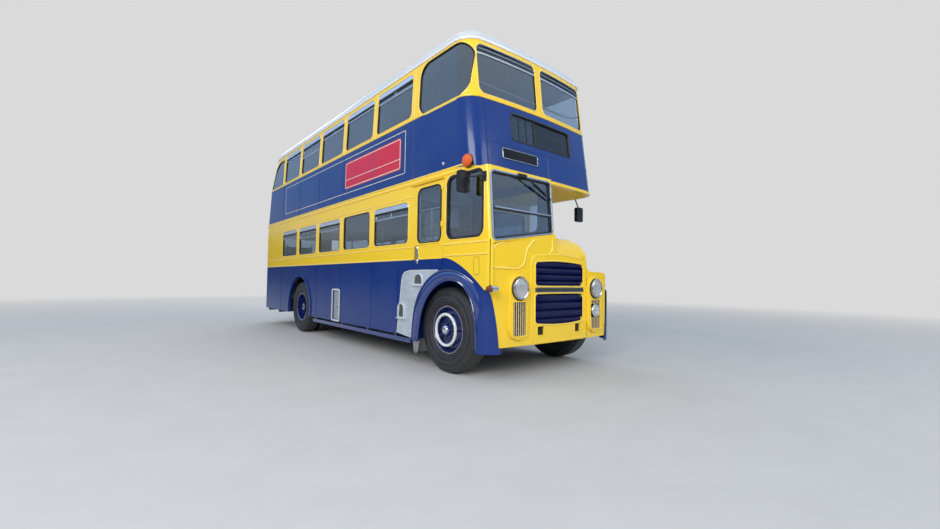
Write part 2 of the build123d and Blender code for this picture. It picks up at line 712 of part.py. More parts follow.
def crown_rows(inset):
    """Bonnet crown and nearside shoulder from the cab side outwards, (x, z)."""
    k = inset
    return [
        (-75, BONNET_TOP_Z - k),
        (250, BONNET_TOP_Z - 20 - k),
        (575 - k, 1480, 505 - k, 1632 - k),
        (598 - k, 1380),
        (690 - k, SHOULDER_Z - k, 628 - k, 1314 - k),
        (1000 - k, SHOULDER_Z - 8 - k),
        (1156 - k, 1110, 1114 - k, 1236 - k),
    ]


def front_rows(inset):
    """Elevation of the moulded front from the bottom corner round to the other."""
    k = inset
    left = [
        (-1060 + k, FRONT_SKIRT_Z - 1),
        (FRONT_EDGE_X + k, 1040, -1098 + k, 700),
        (FRONT_EDGE_X + k, SILL_Z[0] - SEAM - k),
        (-95, SILL_Z[1] - SEAM - k),
    ]
    return left + crown_rows(k) + [(1164 - k, 1040), (1060 - k, FRONT_SKIRT_Z - 1, 1098 - k, 700)]


def front_plan(inset, rear):
    """Plan of the moulded front: slightly bowed, turned back at the nearside."""
    front = -FRONT_OVERHANG + inset
    x = 1180 - inset
    radius = 130 - inset
    reach = radius * (1 - math.sin(math.radians(45)))
    return [
        (FRONT_EDGE_X - 5, rear),
        (FRONT_EDGE_X - 5, front + FRONT_BOW),
        (x - radius, front + FRONT_BOW, 0, front),
        (x, front + FRONT_BOW + radius, x - reach, front + FRONT_BOW + reach),
        (x, rear),
    ]


def front_solid(inset):
    """Moulded front as a solid: elevation, plan and leaning crown together."""
    front = -FRONT_OVERHANG
    rear = front + FRONT_DEPTH + (50 if inset else 0)
    solid = front_shape(front_rows(inset), (front - 50, rear))
    solid &= plan_shape(front_plan(inset, rear + 5), (FRONT_SKIRT_Z, 2000))
    lean = [
        (rear + 20, 0),
        (front - 60, 0),
        (front - 60, 1390),
        (front + inset, 1390),
        (rear + 20, BONNET_TOP_Z + 16 - inset, front + inset + 52, 1600 - inset),
    ]
    bonnet = side_shape(lean, (-75, 1300)) + block((-1300, -75), (front - 60, rear + 20), (0, 2000))
    return solid & bonnet


def grille_opening(bank, stations, inset=0):
    """Block of one grille opening, its long edges bowed."""
    z_range, bow_low, bow_high = bank
    x0, x1 = GRILLE_X[0] + inset, GRILLE_X[1] - inset
    z0, z1 = z_range[0] + inset, z_range[1] - inset
    middle = (x0 + x1) / 2
    rows = ((x0, z0), (x1, z0, middle, z0 - bow_low), (x1, z1), (x0, z1, middle, z1 + bow_high))
    face = traced(rows)
    face = fillet(face.vertices(), GRILLE_RADIUS - inset)
    plane = Plane(origin=(0, y(stations[0]), 0), x_dir=(1, 0, 0), z_dir=(0, -1, 0))
    return extrude(plane * face, amount=-(stations[1] - stations[0]))


def grille_surround():
    """Raised field round both grilles, crowned at the top."""
    front = -FRONT_OVERHANG
    x = SURROUND_X
    rows = (
        (-x, FRONT_SKIRT_Z - 1),
        (x, FRONT_SKIRT_Z - 1),
        (x, SURROUND_TOP_Z - 150),
        (x - 110, SURROUND_TOP_Z - 28, x - 30, SURROUND_TOP_Z - 62),
        (110 - x, SURROUND_TOP_Z - 28, 0, SURROUND_TOP_Z),
        (-x, SURROUND_TOP_Z - 150, 30 - x, SURROUND_TOP_Z - 62),
    )
    field = front_shape(rows, (front - 50, front + 25))
    return field & plan_shape(front_plan(-SURROUND_RISE, front + 25), (FRONT_SKIRT_Z, 2000))


def front_relief():
    """Raised field of the panel between the windscreen and the bonnet's nose."""
    front = -FRONT_OVERHANG
    rows = (
        (-1122, 1545),
        (-992, 1299, -1098, 1372),
        (-780, 1310),
        (-655, 1440, -690, 1346),
        (-560, 1628, -622, 1556),
        (-575, 1634),
    )
    field = front_shape(rows, (front - 50, front + 25))
    return field & plan_shape(front_plan(-RELIEF_RISE, front + 25), (FRONT_SKIRT_Z, 2000))


def lamp_pod(side):
    """Raised pod that carries a headlamp, with a rounded face edge."""
    front = -FRONT_OVERHANG
    x = side * LAMP_X
    pod = front_window((x - 165, x + 165), (front - POD_RISE, front + 30), (470, 1225), 160)
    return fillet(pod.edges().group_by(Axis.Y)[0], POD_RISE - 6)


def front_panel():
    """Moulded bonnet front with two grille openings and lamp pods."""
    front = -FRONT_OVERHANG
    shape = front_solid(0) - front_solid(FRONT_THICK)
    shape -= block((-1300, CAB_INNER_X + SEAM), (PANEL_BACK, 0), (0, 3000))
    shape -= block((CAB_INNER_X, 1300), (PANEL_BACK, 0), (0, 1060))
    shape -= wing_space((1000, 1400))  & block((0, 2000), (front + 40, 0), (0, 3000))
    shape += grille_surround() + front_relief()
    for bank in (GRILLE_UPPER, GRILLE_LOWER):
        shape -= grille_opening(bank, (-950, -700))
    for x0 in (-435, 305):
        shape -= front_window((x0, x0 + 130), (-950, -700), (498, 612), 12)
    for side in (OFFSIDE, NEARSIDE):
        x = side * LAMP_X
        slots = front_window((x - 120, x + 120), (front - 80, front + 80), (510, 915), 20)
        shape = shape + lamp_pod(side) - slots
        shape -= Pos(x, y(front), LAMP_Z) * Rot(90, 0, 0) * Cylinder(LAMP_RADIUS - 10, 160)
    add("front_panel", shape)


def bonnet_lid():
    """Curved engine cover, hinged beside the cab."""
    stations = (-FRONT_OVERHANG + FRONT_DEPTH + DOOR_GAP, BULKHEAD_STATION - DOOR_GAP)
    under = [(LID_EDGE_X, 1000), (LID_EDGE_X, BONNET_TOP_Z)]
    outer = under + crown_rows(0)[1:4] + [(600, LID_LOW_Z), (600, 1000)]
    k = LID_THICK
    under = [(LID_EDGE_X - 50, 900), (LID_EDGE_X - 50, BONNET_TOP_Z - k)]
    inner = under + crown_rows(k)[1:4] + [(600 - k, LID_LOW_Z - 9), (600 - k, 900)]
    shell = front_shape(outer, stations) - front_shape(inner, (-900, 900))
    shell &= block((-200, 700), (-900, 900), (LID_LOW_Z, 2000))
    hinge = (LID_EDGE_X, BONNET_TOP_Z)
    reach = LID_EDGE_X - CAB_INNER_X - SEAM
    for station in (-500, 0, 500):
        barrel = rod((hinge[0], station - 50, hinge[1]), (hinge[0], station + 50, hinge[1]), reach)
        shell += barrel
    add("bonnet_lid", shell)


def grilles():
    """Blue cross louvres and the upright bars below the headlamps."""
    front = -FRONT_OVERHANG
    solids = []
    for bank in (GRILLE_UPPER, GRILLE_LOWER):
        z_range, bow_low, bow_high = bank
        opening = grille_opening(bank, (-950, -700), SEAM)
        pitch = (z_range[1] - z_range[0] + bow_low + bow_high) / LOUVRES
        louvres = block(GRILLE_X, (front + 44, front + 50), (z_range[0] - bow_low, z_range[1] + bow_high))
        for n in range(LOUVRES):
            z = z_range[0] - bow_low + n * pitch
            blade = (
                (front + 46, z + pitch - 2),
                (front + 46, z + pitch - 12),
                (front + 10, z + 4),
                (front + 10, z + 26),
            )
            louvres += side_prism(blade, GRILLE_X)
        solids.append(louvres & opening)
    for side in (OFFSIDE, NEARSIDE):
        for n in range(6):
            x = side * LAMP_X - 90 + n * 36
            bar = block((x - 8, x + 8), (front - POD_RISE + 2, front + 14), (510, 915))
            if side == NEARSIDE:
                bar -= fog_space(FOG_RADIUS + SEAM)
            solids.extend(bar.solids())
    add("grilles", Compound(children=solids))


def fog_space(radius):
    """Round space of the fog lamp in the nearside bars."""
    return Pos(FOG_LAMP[0], y(-FRONT_OVERHANG), FOG_LAMP[1]) * Rot(90, 0, 0) * Cylinder(radius, 100)


def turned_lamp(profile, x, station, z):
    """Lamp turned about the line along the bus, from (radius, out) points."""
    face = make_face(Polyline(*profile, close=True))
    plane = Plane(origin=(x, y(station), z), x_dir=(1, 0, 0), z_dir=(0, 0, 1))
    return revolve(plane * Rot(180, 0, 0) * face, Axis((x, y(station), z), (0, 1, 0)), 360)


def side_lamp():
    """Torpedo lamp that lies across the offside corner on a short stalk."""
    x, station, z = SIDE_LAMP
    profile = ((0, 0), (6, 14), (28, 26), (60, 30), (88, 30), (112, 22), (122, 0))
    face = make_face(Polyline(*profile, close=True))
    plane = Plane(origin=(x, y(station), z), x_dir=(-1, 0, 0), z_dir=(0, -1, 0))
    shape = revolve(plane * face, Axis((x, y(station), z), (1, 0, 0)), 360)
    shape += rod((x - 22, station, z), (x + 18, station + 100, z - 6), 12)
    return shape - plan_shape(front_plan(-SEAM, -FRONT_OVERHANG + 60), (z - 100, z + 100))


def lamps():
    """Headlamps, fog lamp, side lamp and beacon."""
    front = -FRONT_OVERHANG
    solids = []
    for side in (OFFSIDE, NEARSIDE):
        seat = POD_RISE + SEAM
        profile = ((0, -60), (LAMP_RADIUS - 11, -60), (LAMP_RADIUS - 11, seat), (LAMP_RADIUS, seat))
        profile += ((LAMP_RADIUS, seat + 14), (LAMP_RADIUS - 20, seat + 24), (60, seat + 36), (0, seat + 40))
        solids.append(turned_lamp(profile, side * LAMP_X, front, LAMP_Z))
    bowl = ((0, -14), (40, -14), (FOG_RADIUS - 6, 6), (FOG_RADIUS, 14))
    bowl += ((FOG_RADIUS, 34), (FOG_RADIUS - 12, 42), (0, 48))
    solids.append(turned_lamp(bowl, FOG_LAMP[0], front, FOG_LAMP[1]))
    solids.append(side_lamp())
    solids.append(beacon())
    add("lamps", Compound(children=solids))


def beacon():
    """Round direction lamp on the offside of the upper deck's front corner."""
    profile = ((0, -70), (78, -70), (78, 8), (62, 26), (36, 40), (0, 46))
    face = Plane.XY * make_face(Polyline(*profile, close=True))
    lens = revolve(face, Axis.Y, 360)
    lens = Pos(-HALF, y(BEACON[0]), BEACON[1]) * Rot(0, 0, 90) * lens
    return lens - body_loft(UPPER_SECTIONS, -SEAM)


# Chassis side member: station, underside, top
RAIL_PROFILE = (
    (-740, 570, 665),
    (760, 570, 665),
    (1000, 440, 640),
    (REAR_AXLE_STATION - 834, 440, 640),
    (REAR_AXLE_STATION - 604, 650, 790),
    (REAR_AXLE_STATION + 606, 650, 790),
    (REAR_AXLE_STATION + 836, 470, 640),
    (REAR_BULKHEAD_STATION - 50, 470, 640),
    (REAR_BULKHEAD_STATION - 10, 300, 370),
    (REAR_STATION - 125, 300, 370),
)


def chassis_frame():
    """Two side members with cross members, outriggers and floor bearers."""
    low = [(s, z0) for s, z0, z1 in RAIL_PROFILE]
    high = [(s, z1) for s, z0, z1 in reversed(RAIL_PROFILE)]
    half = RAIL_WIDTH / 2
    shape = None
    for side in (OFFSIDE, NEARSIDE):
        x_range = (side * RAIL_X - half, side * RAIL_X + half)
        rail = side_prism(low + high, x_range)
        shape = rail if shape is None else shape + rail
    inside = (-RAIL_X + half - 5, RAIL_X - half + 5)
    cross = ((-700, 600, 680), (1450, 470, 640), (2200, 470, 640), (3300, 470, 640))
    cross += ((REAR_AXLE_STATION - 1004, 470, 640), (REAR_AXLE_STATION + 1046, 500, 630))
    cross += ((REAR_STATION - 245, 310, 370),)
    cross += ((-600, 572, 600 - SEAM), (1250, 420, 455 - SEAM))
    for station, z0, z1 in cross:
        member = block(inside, (station - 35, station + 35), (z0, z1))
        if 1300 < station < 5000:
            member -= block((DRIVELINE_X - 90, DRIVELINE_X + 90), (station - 40, station + 40), (0, 620))
        shape += member
    top = SALOON_FLOOR_Z - FLOOR_THICK
    for station in (1100, 1900, 2700, 3500, REAR_AXLE_STATION - 854, REAR_AXLE_STATION + 1096):
        outline = (
            (-INNER, top - 60),
            (-INNER, top),
            (INNER, top),
            (INNER, top - 60),
            (RAIL_X, top - 110),
            (-RAIL_X, top - 110),
        )
        bearer = front_prism(outline, (station - 25, station + 25))
        clear = block((-RAIL_X + half, RAIL_X - half), (station - 30, station + 30), (400, 640))
        shape += bearer - clear
    under = PLATFORM_Z - PLATFORM_THICK
    for station in (REAR_STATION - 1045, REAR_STATION - 245):
        shape += block((-INNER, INNER), (station - 25, station + 25), (320, under))
    for side in (OFFSIDE, NEARSIDE):
        for stations in ((-740, -690), (600, 650)):
            x_range = sorted((side * RAIL_X, side * 560))
            shape += block(x_range, stations, (600, 665))
    for side in (OFFSIDE, NEARSIDE):
        for station in (REAR_AXLE_STATION - REAR_SPRING_REACH, REAR_AXLE_STATION + REAR_SPRING_REACH):
            x_range = sorted((side * (RAIL_X + half - 5), side * (REAR_SPRING_X + 45)))
            shape += block(x_range, (station - 25, station + 25), (REAR_SPRING_END_Z + SEAM, 620))
    add("chassis_frame", shape)


def engine():
    """Engine and gearbox as one plain mass between the side members."""
    shape = block((30, 380), (-560, 640), (480, 1420))
    shape += block((90, 330), (640, 1350), (455, 625))
    shape += block((60, 350), (-640, -560), (600, 1300))
    add("engine_and_gearbox", shape)


def propshaft():
    """Shaft from the gearbox to the rear axle."""
    start = (DRIVELINE_X, 1390, 545)
    end = (DRIVELINE_X, REAR_AXLE_STATION - 210, 520)
    shape = rod(start, end, 45)
    for station, z in ((1390, 545), (3200, 532), (REAR_AXLE_STATION - 210, 520)):
        shape += rod((DRIVELINE_X, station - 40, z), (DRIVELINE_X, station + 40, z), 68)
    add("propshaft", shape)


def rear_axle():
    """Axle casing with the differential bowl and brake drums' backplates."""
    station = REAR_AXLE_STATION
    shape = across(0, station, WHEEL_RADIUS, 68, 1160)
    bowl = Pos(DRIVELINE_X, y(station), WHEEL_RADIUS - 25) * Sphere(150)
    shape += bowl
    shape += rod((DRIVELINE_X, station - 170, 520), (DRIVELINE_X, station - 100, 520), 70)
    for side in (OFFSIDE, NEARSIDE):
        shape += across(side * 590, station, WHEEL_RADIUS, 190, 20)
        shape += across(side * 820, station, WHEEL_RADIUS, 45, 480)
    add("rear_axle", shape)


def front_axle():
    """Dropped beam with bosses for the kingpins."""
    half = (
        (KINGPIN_X - 10, 575),
        (KINGPIN_X - 10, 485),
        (760, 470),
        (640, 345),
        (0, 345),
    )
    top = (
        (0, 430),
        (620, 430),
        (720, 560),
        (KINGPIN_X - 10, 575),
    )
    right = half[1:] + top
    left = tuple((-x, z) for x, z in reversed(right))
    shape = front_prism(right, (-45, 45)) + front_prism(left, (-45, 45))
    for side in (OFFSIDE, NEARSIDE):
        place = Pos(side * KINGPIN_X, y(0), 530)
        shape += place * Cylinder(46, 130)
        shape -= place * Cylinder(KINGPIN_RADIUS + HUB_PLAY, 200)
        seat = sorted((side * 385, side * 475))
        shape += block(seat, (-75, 75), (400, 440))
    add("front_axle", shape)


def leaf_springs():
    """Four leaf springs, each a pack bowed down to its axle."""
    springs = []
    packs = (
        (RAIL_X, 0, 700, 440, 60, 570 - SEAM),
        (REAR_SPRING_X, REAR_AXLE_STATION, REAR_SPRING_REACH, 402, 60, REAR_SPRING_END_Z),
    )
    for x, station, reach, z_low, thick, z_end in packs:
        for side in (OFFSIDE, NEARSIDE):
            x_range = (side * x - SPRING_WIDTH / 2, side * x + SPRING_WIDTH / 2)
            outline = (
                (station - reach, z_end - 16),
                (station - reach * 0.5, z_low + 22),
                (station - 90, z_low),
                (station + 90, z_low),
                (station + reach * 0.5, z_low + 22),
                (station + reach, z_end - 16),
                (station + reach, z_end),
                (station + reach * 0.5, z_low + thick + 14),
                (station + 90, z_low + thick),
                (station - 90, z_low + thick),
                (station - reach * 0.5, z_low + thick + 14),
                (station - reach, z_end),
            )
            springs.append(side_prism(outline, x_range))
    add("leaf_springs", Compound(children=springs))


def underfloor():
    """Fuel tank on the offside and the exhaust on the nearside."""
    tank = block((-1120, -560), (2500, 3600), (330, 560))
    tank = fillet(tank.edges().filter_by(Axis.Y), 60)
    for station in (2700, 3500):
        tank += block((-1000, -600), (station - 25, station + 25), (555, 571.2))
    add("fuel_tank", tank)
    x = 600
    pipe = rod((380 + SEAM, 300, 760), (540, 300, 760), 30)
    pipe += rod((540, 300, 760), (x, 700, 420), 30) + Pos(540, y(300), 760) * Sphere(32)
    pipe += rod((x, 700, 420), (x, 2100, 420), 30) + Pos(x, y(700), 420) * Sphere(32)
    pipe += rod((x, 2000, 420), (x, 3000, 420), 105)
    pipe += rod((x, 2900, 420), (x, REAR_AXLE_STATION - 884, 420), 30)
    for station in (1900, 2700):
        pipe += block((x - 15, x + 15), (station - 15, station + 15), (420, 570))
    add("exhaust", pipe)


def knuckles():
    """Steering knuckles: kingpin, yoke, stub axle and track arm."""
    for side, name in ((OFFSIDE, "knuckle_offside"), (NEARSIDE, "knuckle_nearside")):
        x = side * KINGPIN_X
        shape = Pos(x, y(0), 530) * Cylinder(KINGPIN_RADIUS, 210)
        for z in (440, 620):
            shape += Pos(x, y(0), z) * Cylinder(44, 44)
        web = sorted((side * (KINGPIN_X + 52), side * (KINGPIN_X + 80)))
        shape += block(web, (-42, 42), (418, 642))
        for z in (440, 620):
            arm = sorted((x, side * (KINGPIN_X + 60)))
            shape += block(arm, (-42, 42), (z - 22, z + 22))
        start = side * (KINGPIN_X + 60)
        stub_x = side * (FRONT_WHEEL_X + 20)
        shape += across((start + stub_x) / 2, 0, WHEEL_RADIUS, 40, abs(stub_x - start))
        shape += block((x - 20, x + 20), (20, TRACK_ARM), (418, 446))
        low = TRACK_ROD_Z + TRACK_EYE / 2 + HUB_PLAY
        shape += Pos(x, y(TRACK_ARM), (low + 446) / 2) * Cylinder(26, 446 - low)
        add(name, shape)


def track_rod():
    """Rod that joins the two track arms."""
    shape = across(0, TRACK_ARM, TRACK_ROD_Z, 18, 2 * KINGPIN_X)
    for side in (OFFSIDE, NEARSIDE):
        shape += Pos(side * KINGPIN_X, y(TRACK_ARM), TRACK_ROD_Z) * Cylinder(30, TRACK_EYE)
    add("track_rod", shape)


def tyre_profile(width):
    """Half-round tyre section as (x, radius) points."""
    w = width / 2
    r = WHEEL_RADIUS
    return (
        (-w * 0.78, RIM_RADIUS + 2),
        (-w * 0.96, RIM_RADIUS + 60),
        (-w, RIM_RADIUS + 130),
        (-w * 0.95, r - 62),
        (-w * 0.82, r - 22),
        (-w * 0.7, r - 4),
        (0, r),
        (w * 0.7, r - 4),
        (w * 0.82, r - 22),
        (w * 0.95, r - 62),
        (w, RIM_RADIUS + 130),
        (w * 0.96, RIM_RADIUS + 60),
        (w * 0.78, RIM_RADIUS + 2),
    )


def front_wheels():
    """Front tyres and rims with their hubs."""
    station = 0
    for side, word in ((OFFSIDE, "offside"), (NEARSIDE, "nearside")):
        x = side * FRONT_WHEEL_X
        tyre = spin_x(tyre_profile(TYRE_WIDTH), x, station)
        add("tyre_front_" + word, tyre)
        w = TYRE_WIDTH / 2 * 0.78
        barrel = (
            (-w, 258),
            (-w, RIM_RADIUS + 1.5),
            (w, RIM_RADIUS + 1.5),
            (w, RIM_RADIUS - 16),
            (w - 10, RIM_RADIUS - 24),
            (38, 258),
            (52, 226),
            (66, 148),
            (86, 138),
            (100, 78),
            (132, 66),
            (140, 40),
            (140, 0),
            (24, 0),
            (24, 40 + HUB_PLAY),
            (-10, 40 + HUB_PLAY),
            (-10, 60),
            (-42, 70),
            (-42, 190),
            (-20, 200),
            (20, 240),
        )
        profile = [(side * px, r) for px, r in barrel]
        rim = spin_x(profile, x, station) + nut_guard(side, x, station)
        add("rim_front_" + word, rim)


def nut_guard(side, x, station):
    """Tubular ring that stands out round the wheel nuts, on five legs."""
    place = Pos(x + side * 132, y(station), WHEEL_RADIUS) * Rot(0, 90, 0)
    ring = place * Torus(GUARD_RADIUS, 13)
    for n in range(5):
        turn = math.radians(72 * n + 36)
        low = (x + side * 52, station + 196 * math.cos(turn), WHEEL_RADIUS + 196 * math.sin(turn))
        high = (x + side * 132, station + 190 * math.cos(turn), WHEEL_RADIUS + 190 * math.sin(turn))
        ring += rod(low, high, 8)
    return ring


def rear_wheels():
    """Twin rear tyres and their rims."""
    station = REAR_AXLE_STATION
    for side, word in ((OFFSIDE, "offside"), (NEARSIDE, "nearside")):
        tyres = [spin_x(tyre_profile(TYRE_WIDTH), side * x, station) for x in REAR_WHEEL_X]
        add("tyres_rear_" + word, Compound(children=tyres))
        outer_x = REAR_WHEEL_X[1]
        inner_x = REAR_WHEEL_X[0] - outer_x
        w = TYRE_WIDTH / 2 * 0.78
        profile = (
            (inner_x - w, 258),
            (inner_x - w, RIM_RADIUS + 1.5),
            (w, RIM_RADIUS + 1.5),
            (w, RIM_RADIUS - 16),
            (w - 10, RIM_RADIUS - 24),
            (-66, 252),
            (-80, 150),
            (-30, 140),
            (-20, 80),
            (60, 72),
            (62, 0),
            (20, 0),
            (20, 45 + HUB_PLAY),
            (inner_x - 20, 45 + HUB_PLAY),
            (inner_x - 20, 80),
            (inner_x - 20, 216),
            (inner_x + 60, 232),
        )
        rim = spin_x([(side * px, r) for px, r in profile], side * outer_x, station)
        add("rims_rear_" + word, rim)


# Seats: rows of stations on each deck
SEAT_PITCH = 720
SEAT_X = (300, INNER - 20)
DRIVER_X = (-620, -180)
LOWER_START = 1180
UPPER_START = 330


def seat_rows(start, end):
    """Stations of the rows of seats that fit between two stations."""
    return [start + n * SEAT_PITCH for n in range(int((end - start) / SEAT_PITCH))]


def seat(x_range, station, floor_z):
    """Cushion, back and frame of one double seat facing forwards."""
    base = floor_z + 330
    cushion = block(x_range, (station, station + 400), (base, base + 110))
    cushion = fillet(cushion.edges().group_by(Axis.Z)[-1].filter_by(Axis.X), 35)
    back_outline = (
        (station + 400 + SEAM, base + 112),
        (station + 470, base + 560),
        (station + 540, base + 560),
        (station + 482, base + 60),
        (station + 400 + SEAM, base + 60),
    )
    back = side_prism(back_outline, x_range)
    frame = block(x_range, (station + 20, station + 395), (base - 30, base))
    x0, x1 = x_range
    for x in (x0 + 60, x1 - 60):
        frame += block((x - 15, x + 15), (station + 60, station + 90), (floor_z, base))
        frame += block((x - 15, x + 15), (station + 360, station + 390), (floor_z, base))
    return [cushion, back], frame


def seats():
    """Seats of both saloons."""
    lower = []
    upper = []
    frames = []
    offside = (-SEAT_X[1], -SEAT_X[0])
    saloon = seat_rows(LOWER_START, REAR_AXLE_STATION - 660)
    stair_side = seat_rows(UPPER_START, STAIR_TOP_STATION - 20)
    far_side = seat_rows(UPPER_START, REAR_STATION - 700)
    rows = [(lower, SALOON_FLOOR_Z, offside, saloon), (lower, SALOON_FLOOR_Z, SEAT_X, saloon)]
    rows += [(upper, DECK_Z, offside, stair_side), (upper, DECK_Z, SEAT_X, far_side)]
    for soft, floor_z, x_range, stations in rows:
        for station in stations:
            pieces, frame = seat(x_range, station, floor_z)
            soft.extend(pieces)
            frames.append(frame)
    pieces, pedestal = driver_seat()
    lower += pieces + benches()
    frames.append(pedestal)
    add("seat_cushions_lower", Compound(children=lower))
    add("seat_cushions_upper", Compound(children=upper))
    add("seat_frames", Compound(children=frames))


def benches():
    """Inward-facing benches on the rear wheel boxes."""
    soft = []
    stations = (REAR_AXLE_STATION - 640, REAR_AXLE_STATION + 640)
    for side in (OFFSIDE, NEARSIDE):
        seat_x = sorted((side * 600, side * (SEAT_X[1] - 90)))
        soft.append(block(seat_x, stations, (WHEEL_BOX_Z, WHEEL_BOX_Z + 100)))
        back_x = sorted((side * (SEAT_X[1] - 90 + SEAM), side * SEAT_X[1]))
        soft.append(block(back_x, stations, (WHEEL_BOX_Z, LOWER_WINDOW_Z[0])))
    return soft


def driver_seat():
    """Driver's cushion and back on a box pedestal."""
    base = CAB_FLOOR_Z + 310
    cushion = block(DRIVER_X, (190, 600), (base, base + 100))
    back = block(DRIVER_X, (600 + SEAM, 680), (base, base + 540))
    pedestal_x = (DRIVER_X[0] + 60, DRIVER_X[1] - 60)
    return [cushion, back], block(pedestal_x, (250, 660), (CAB_FLOOR_Z, base))


POLE_STATION = REAR_STATION - 215


def handrails():
    """Platform pole and saloon stanchions."""
    rail_station = REAR_BULKHEAD_STATION + 150
    poles = [
        rod((HALF - 110, POLE_STATION, PLATFORM_Z), (HALF - 110, POLE_STATION, DECK_UNDER_Z), 16),
        rod((300, rail_station, PLATFORM_Z), (300, rail_station, DECK_UNDER_Z), 16),
    ]
    for station in (1700, 3140):
        for side in (OFFSIDE, NEARSIDE):
            poles.append(rod((side * 270, station, SALOON_FLOOR_Z), (side * 270, station, DECK_UNDER_Z), 14))
    add("handrails", Compound(children=poles))


def steering_wheel():
    """Steering wheel and its column in the cab."""
    x = sum(DRIVER_X) / 2
    base = (x, -560, CAB_FLOOR_Z + 25)
    hub = (x, -250, 1590)
    shape = rod(base, hub, 24) + block((x - 45, x + 45), (-610, -510), (CAB_FLOOR_Z, CAB_FLOOR_Z + 50))
    lean = math.degrees(math.atan2(hub[1] - base[1], hub[2] - base[2]))
    place = Pos(hub[0], y(hub[1]), hub[2]) * Rot(-lean, 0, 0)
    shape += place * Torus(225, 14)
    for angle in (0, 120, 240):
        shape += place * Rot(0, 0, angle) * Pos(112, 0, 0) * Box(226, 22, 12)
    add("steering_wheel", shape)


def mirrors():
    """Exterior mirrors on bracket arms."""
    offside = block((-1430, -1275), (-555, -500), (2130, 2375))
    offside = fillet(offside.edges().filter_by(Axis.Y), 25)
    arm = rod((-1350, -530, 2305), (-HALF - 8, -745, 2300), 9)
    arm += block((-HALF - 16, -HALF), (-765, -725), (2240, 2350))
    nearside = block((1275, 1425), (-215, -160), (2095, 2320))
    nearside = fillet(nearside.edges().filter_by(Axis.Y), 25)
    near_arm = rod((1350, -190, 2290), (HALF + 8, -190, 2480), 9)
    near_arm += block((HALF, HALF + 16), (-210, -170), (2450, 2510))
    add("mirrors", Compound(children=[offside + arm, nearside + near_arm]))


def cab_panes():
    """Windscreen, side window and inner window of the cab."""
    screen = cab_outline(GLASS_DEPTH) - cab_outline(GLASS_DEPTH + GLASS)
    screen &= windscreen_cut()
    x = -HALF + GLASS_DEPTH
    side = side_window((x, x + GLASS), CAB_SIDE_WINDOW, CAB_SIDE_Z, CAB_SIDE_RADIUS)
    x = CAB_INNER_X - GLASS_DEPTH
    inner = side_window((x - GLASS, x), CAB_INNER_WINDOW, CAB_INNER_Z, WINDOW_RADIUS)
    return screen.solids() + side.solids() + inner.solids()


def end_panes():
    """Panes of the bulkheads and of the window beside the platform."""
    front = (BULKHEAD_STATION + GLASS_DEPTH, BULKHEAD_STATION + GLASS_DEPTH + GLASS)
    rear = (REAR_BULKHEAD_STATION + BULKHEAD_THICK, REAR_BULKHEAD_STATION + BULKHEAD_THICK + GLASS)
    tail = (REAR_STATION - GLASS_DEPTH - GLASS, REAR_STATION - GLASS_DEPTH)
    panes = [front_window(x, front, z, BULKHEAD_RADIUS) for x, z in BULKHEAD_WINDOWS]
    panes.append(front_window(PARTITION_X, rear, LOWER_WINDOW_Z, BULKHEAD_RADIUS))
    panes.append(front_window(PLATFORM_WINDOW_X, tail, PLATFORM_WINDOW_Z, BULKHEAD_RADIUS))
    return [solid for pane in panes for solid in pane.solids()]


def glazing(side, front):
    """Window panes, set in from the outer skin."""
    depth = GLASS_DEPTH
    skin = body_loft(UPPER_SECTIONS, depth) - body_loft(UPPER_SECTIONS, depth + GLASS)
    panes = []
    for cutter in side + front:
        panes.extend((skin & cutter).solids())
    for stations in lower_bays():
        for side_sign in (OFFSIDE, NEARSIDE):
            x = side_sign * (HALF - depth - GLASS / 2)
            x_range = (x - GLASS / 2, x + GLASS / 2)
            panes.extend(side_window(x_range, stations, LOWER_WINDOW_Z, WINDOW_RADIUS).solids())
    panes += cab_panes() + end_panes()
    add("glazing", Compound(children=panes))


def build():
    """Make every node."""
    side, front = upper_deck()
    roof()
    upper_floor()
    staircase()
    lower_sides()
    lower_rear()
    lower_floor()
    bulkheads()
    front_wings()
    step_panel()
    lifeguards()
    cab_shell()
    cab_door()
    front_panel()
    bonnet_lid()
    grilles()
    lamps()
    chassis_frame()
    engine()
    propshaft()
    rear_axle()
    front_axle()
    leaf_springs()
    underfloor()
    knuckles()
    track_rod()
    front_wheels()
    rear_wheels()
    seats()
    handrails()
    steering_wheel()
    mirrors()
    glazing(side, front)


build()
os.makedirs("parts", exist_ok=True)
for name, shape in PARTS.items():
    export_step(shape, "parts/" + name + ".step")
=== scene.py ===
"""Looks of the half-cab double decker bus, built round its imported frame."""

import bmesh
import bpy
import itertools
import math
from mathutils import Matrix, Vector
from mathutils.bvhtree import BVHTree


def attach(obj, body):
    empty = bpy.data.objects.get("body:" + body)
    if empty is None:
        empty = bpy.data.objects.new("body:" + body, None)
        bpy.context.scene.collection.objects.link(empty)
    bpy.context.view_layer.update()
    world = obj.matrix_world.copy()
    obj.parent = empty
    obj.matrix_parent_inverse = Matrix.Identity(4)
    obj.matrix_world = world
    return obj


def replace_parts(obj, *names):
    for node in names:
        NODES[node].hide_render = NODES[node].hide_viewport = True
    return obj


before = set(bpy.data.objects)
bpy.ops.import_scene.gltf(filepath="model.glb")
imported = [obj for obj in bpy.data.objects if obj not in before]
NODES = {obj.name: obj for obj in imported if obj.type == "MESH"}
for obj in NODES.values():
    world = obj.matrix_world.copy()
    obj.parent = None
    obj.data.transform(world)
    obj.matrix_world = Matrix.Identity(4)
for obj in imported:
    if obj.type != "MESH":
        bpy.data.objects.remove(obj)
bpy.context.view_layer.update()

# Places along the bus are stations: metres behind the front axle
FRONT_AXLE_Y = -3.355
REAR_AXLE = 5.004
NOSE = -0.835
BULKHEAD = 0.70
FIRST_BAY = 0.70
BAY_PITCH = 1.11
BAYS = 5
LAST_BAY = FIRST_BAY + BAYS * BAY_PITCH
OVER_REAR_ARCH = 4
REAR = 7.545

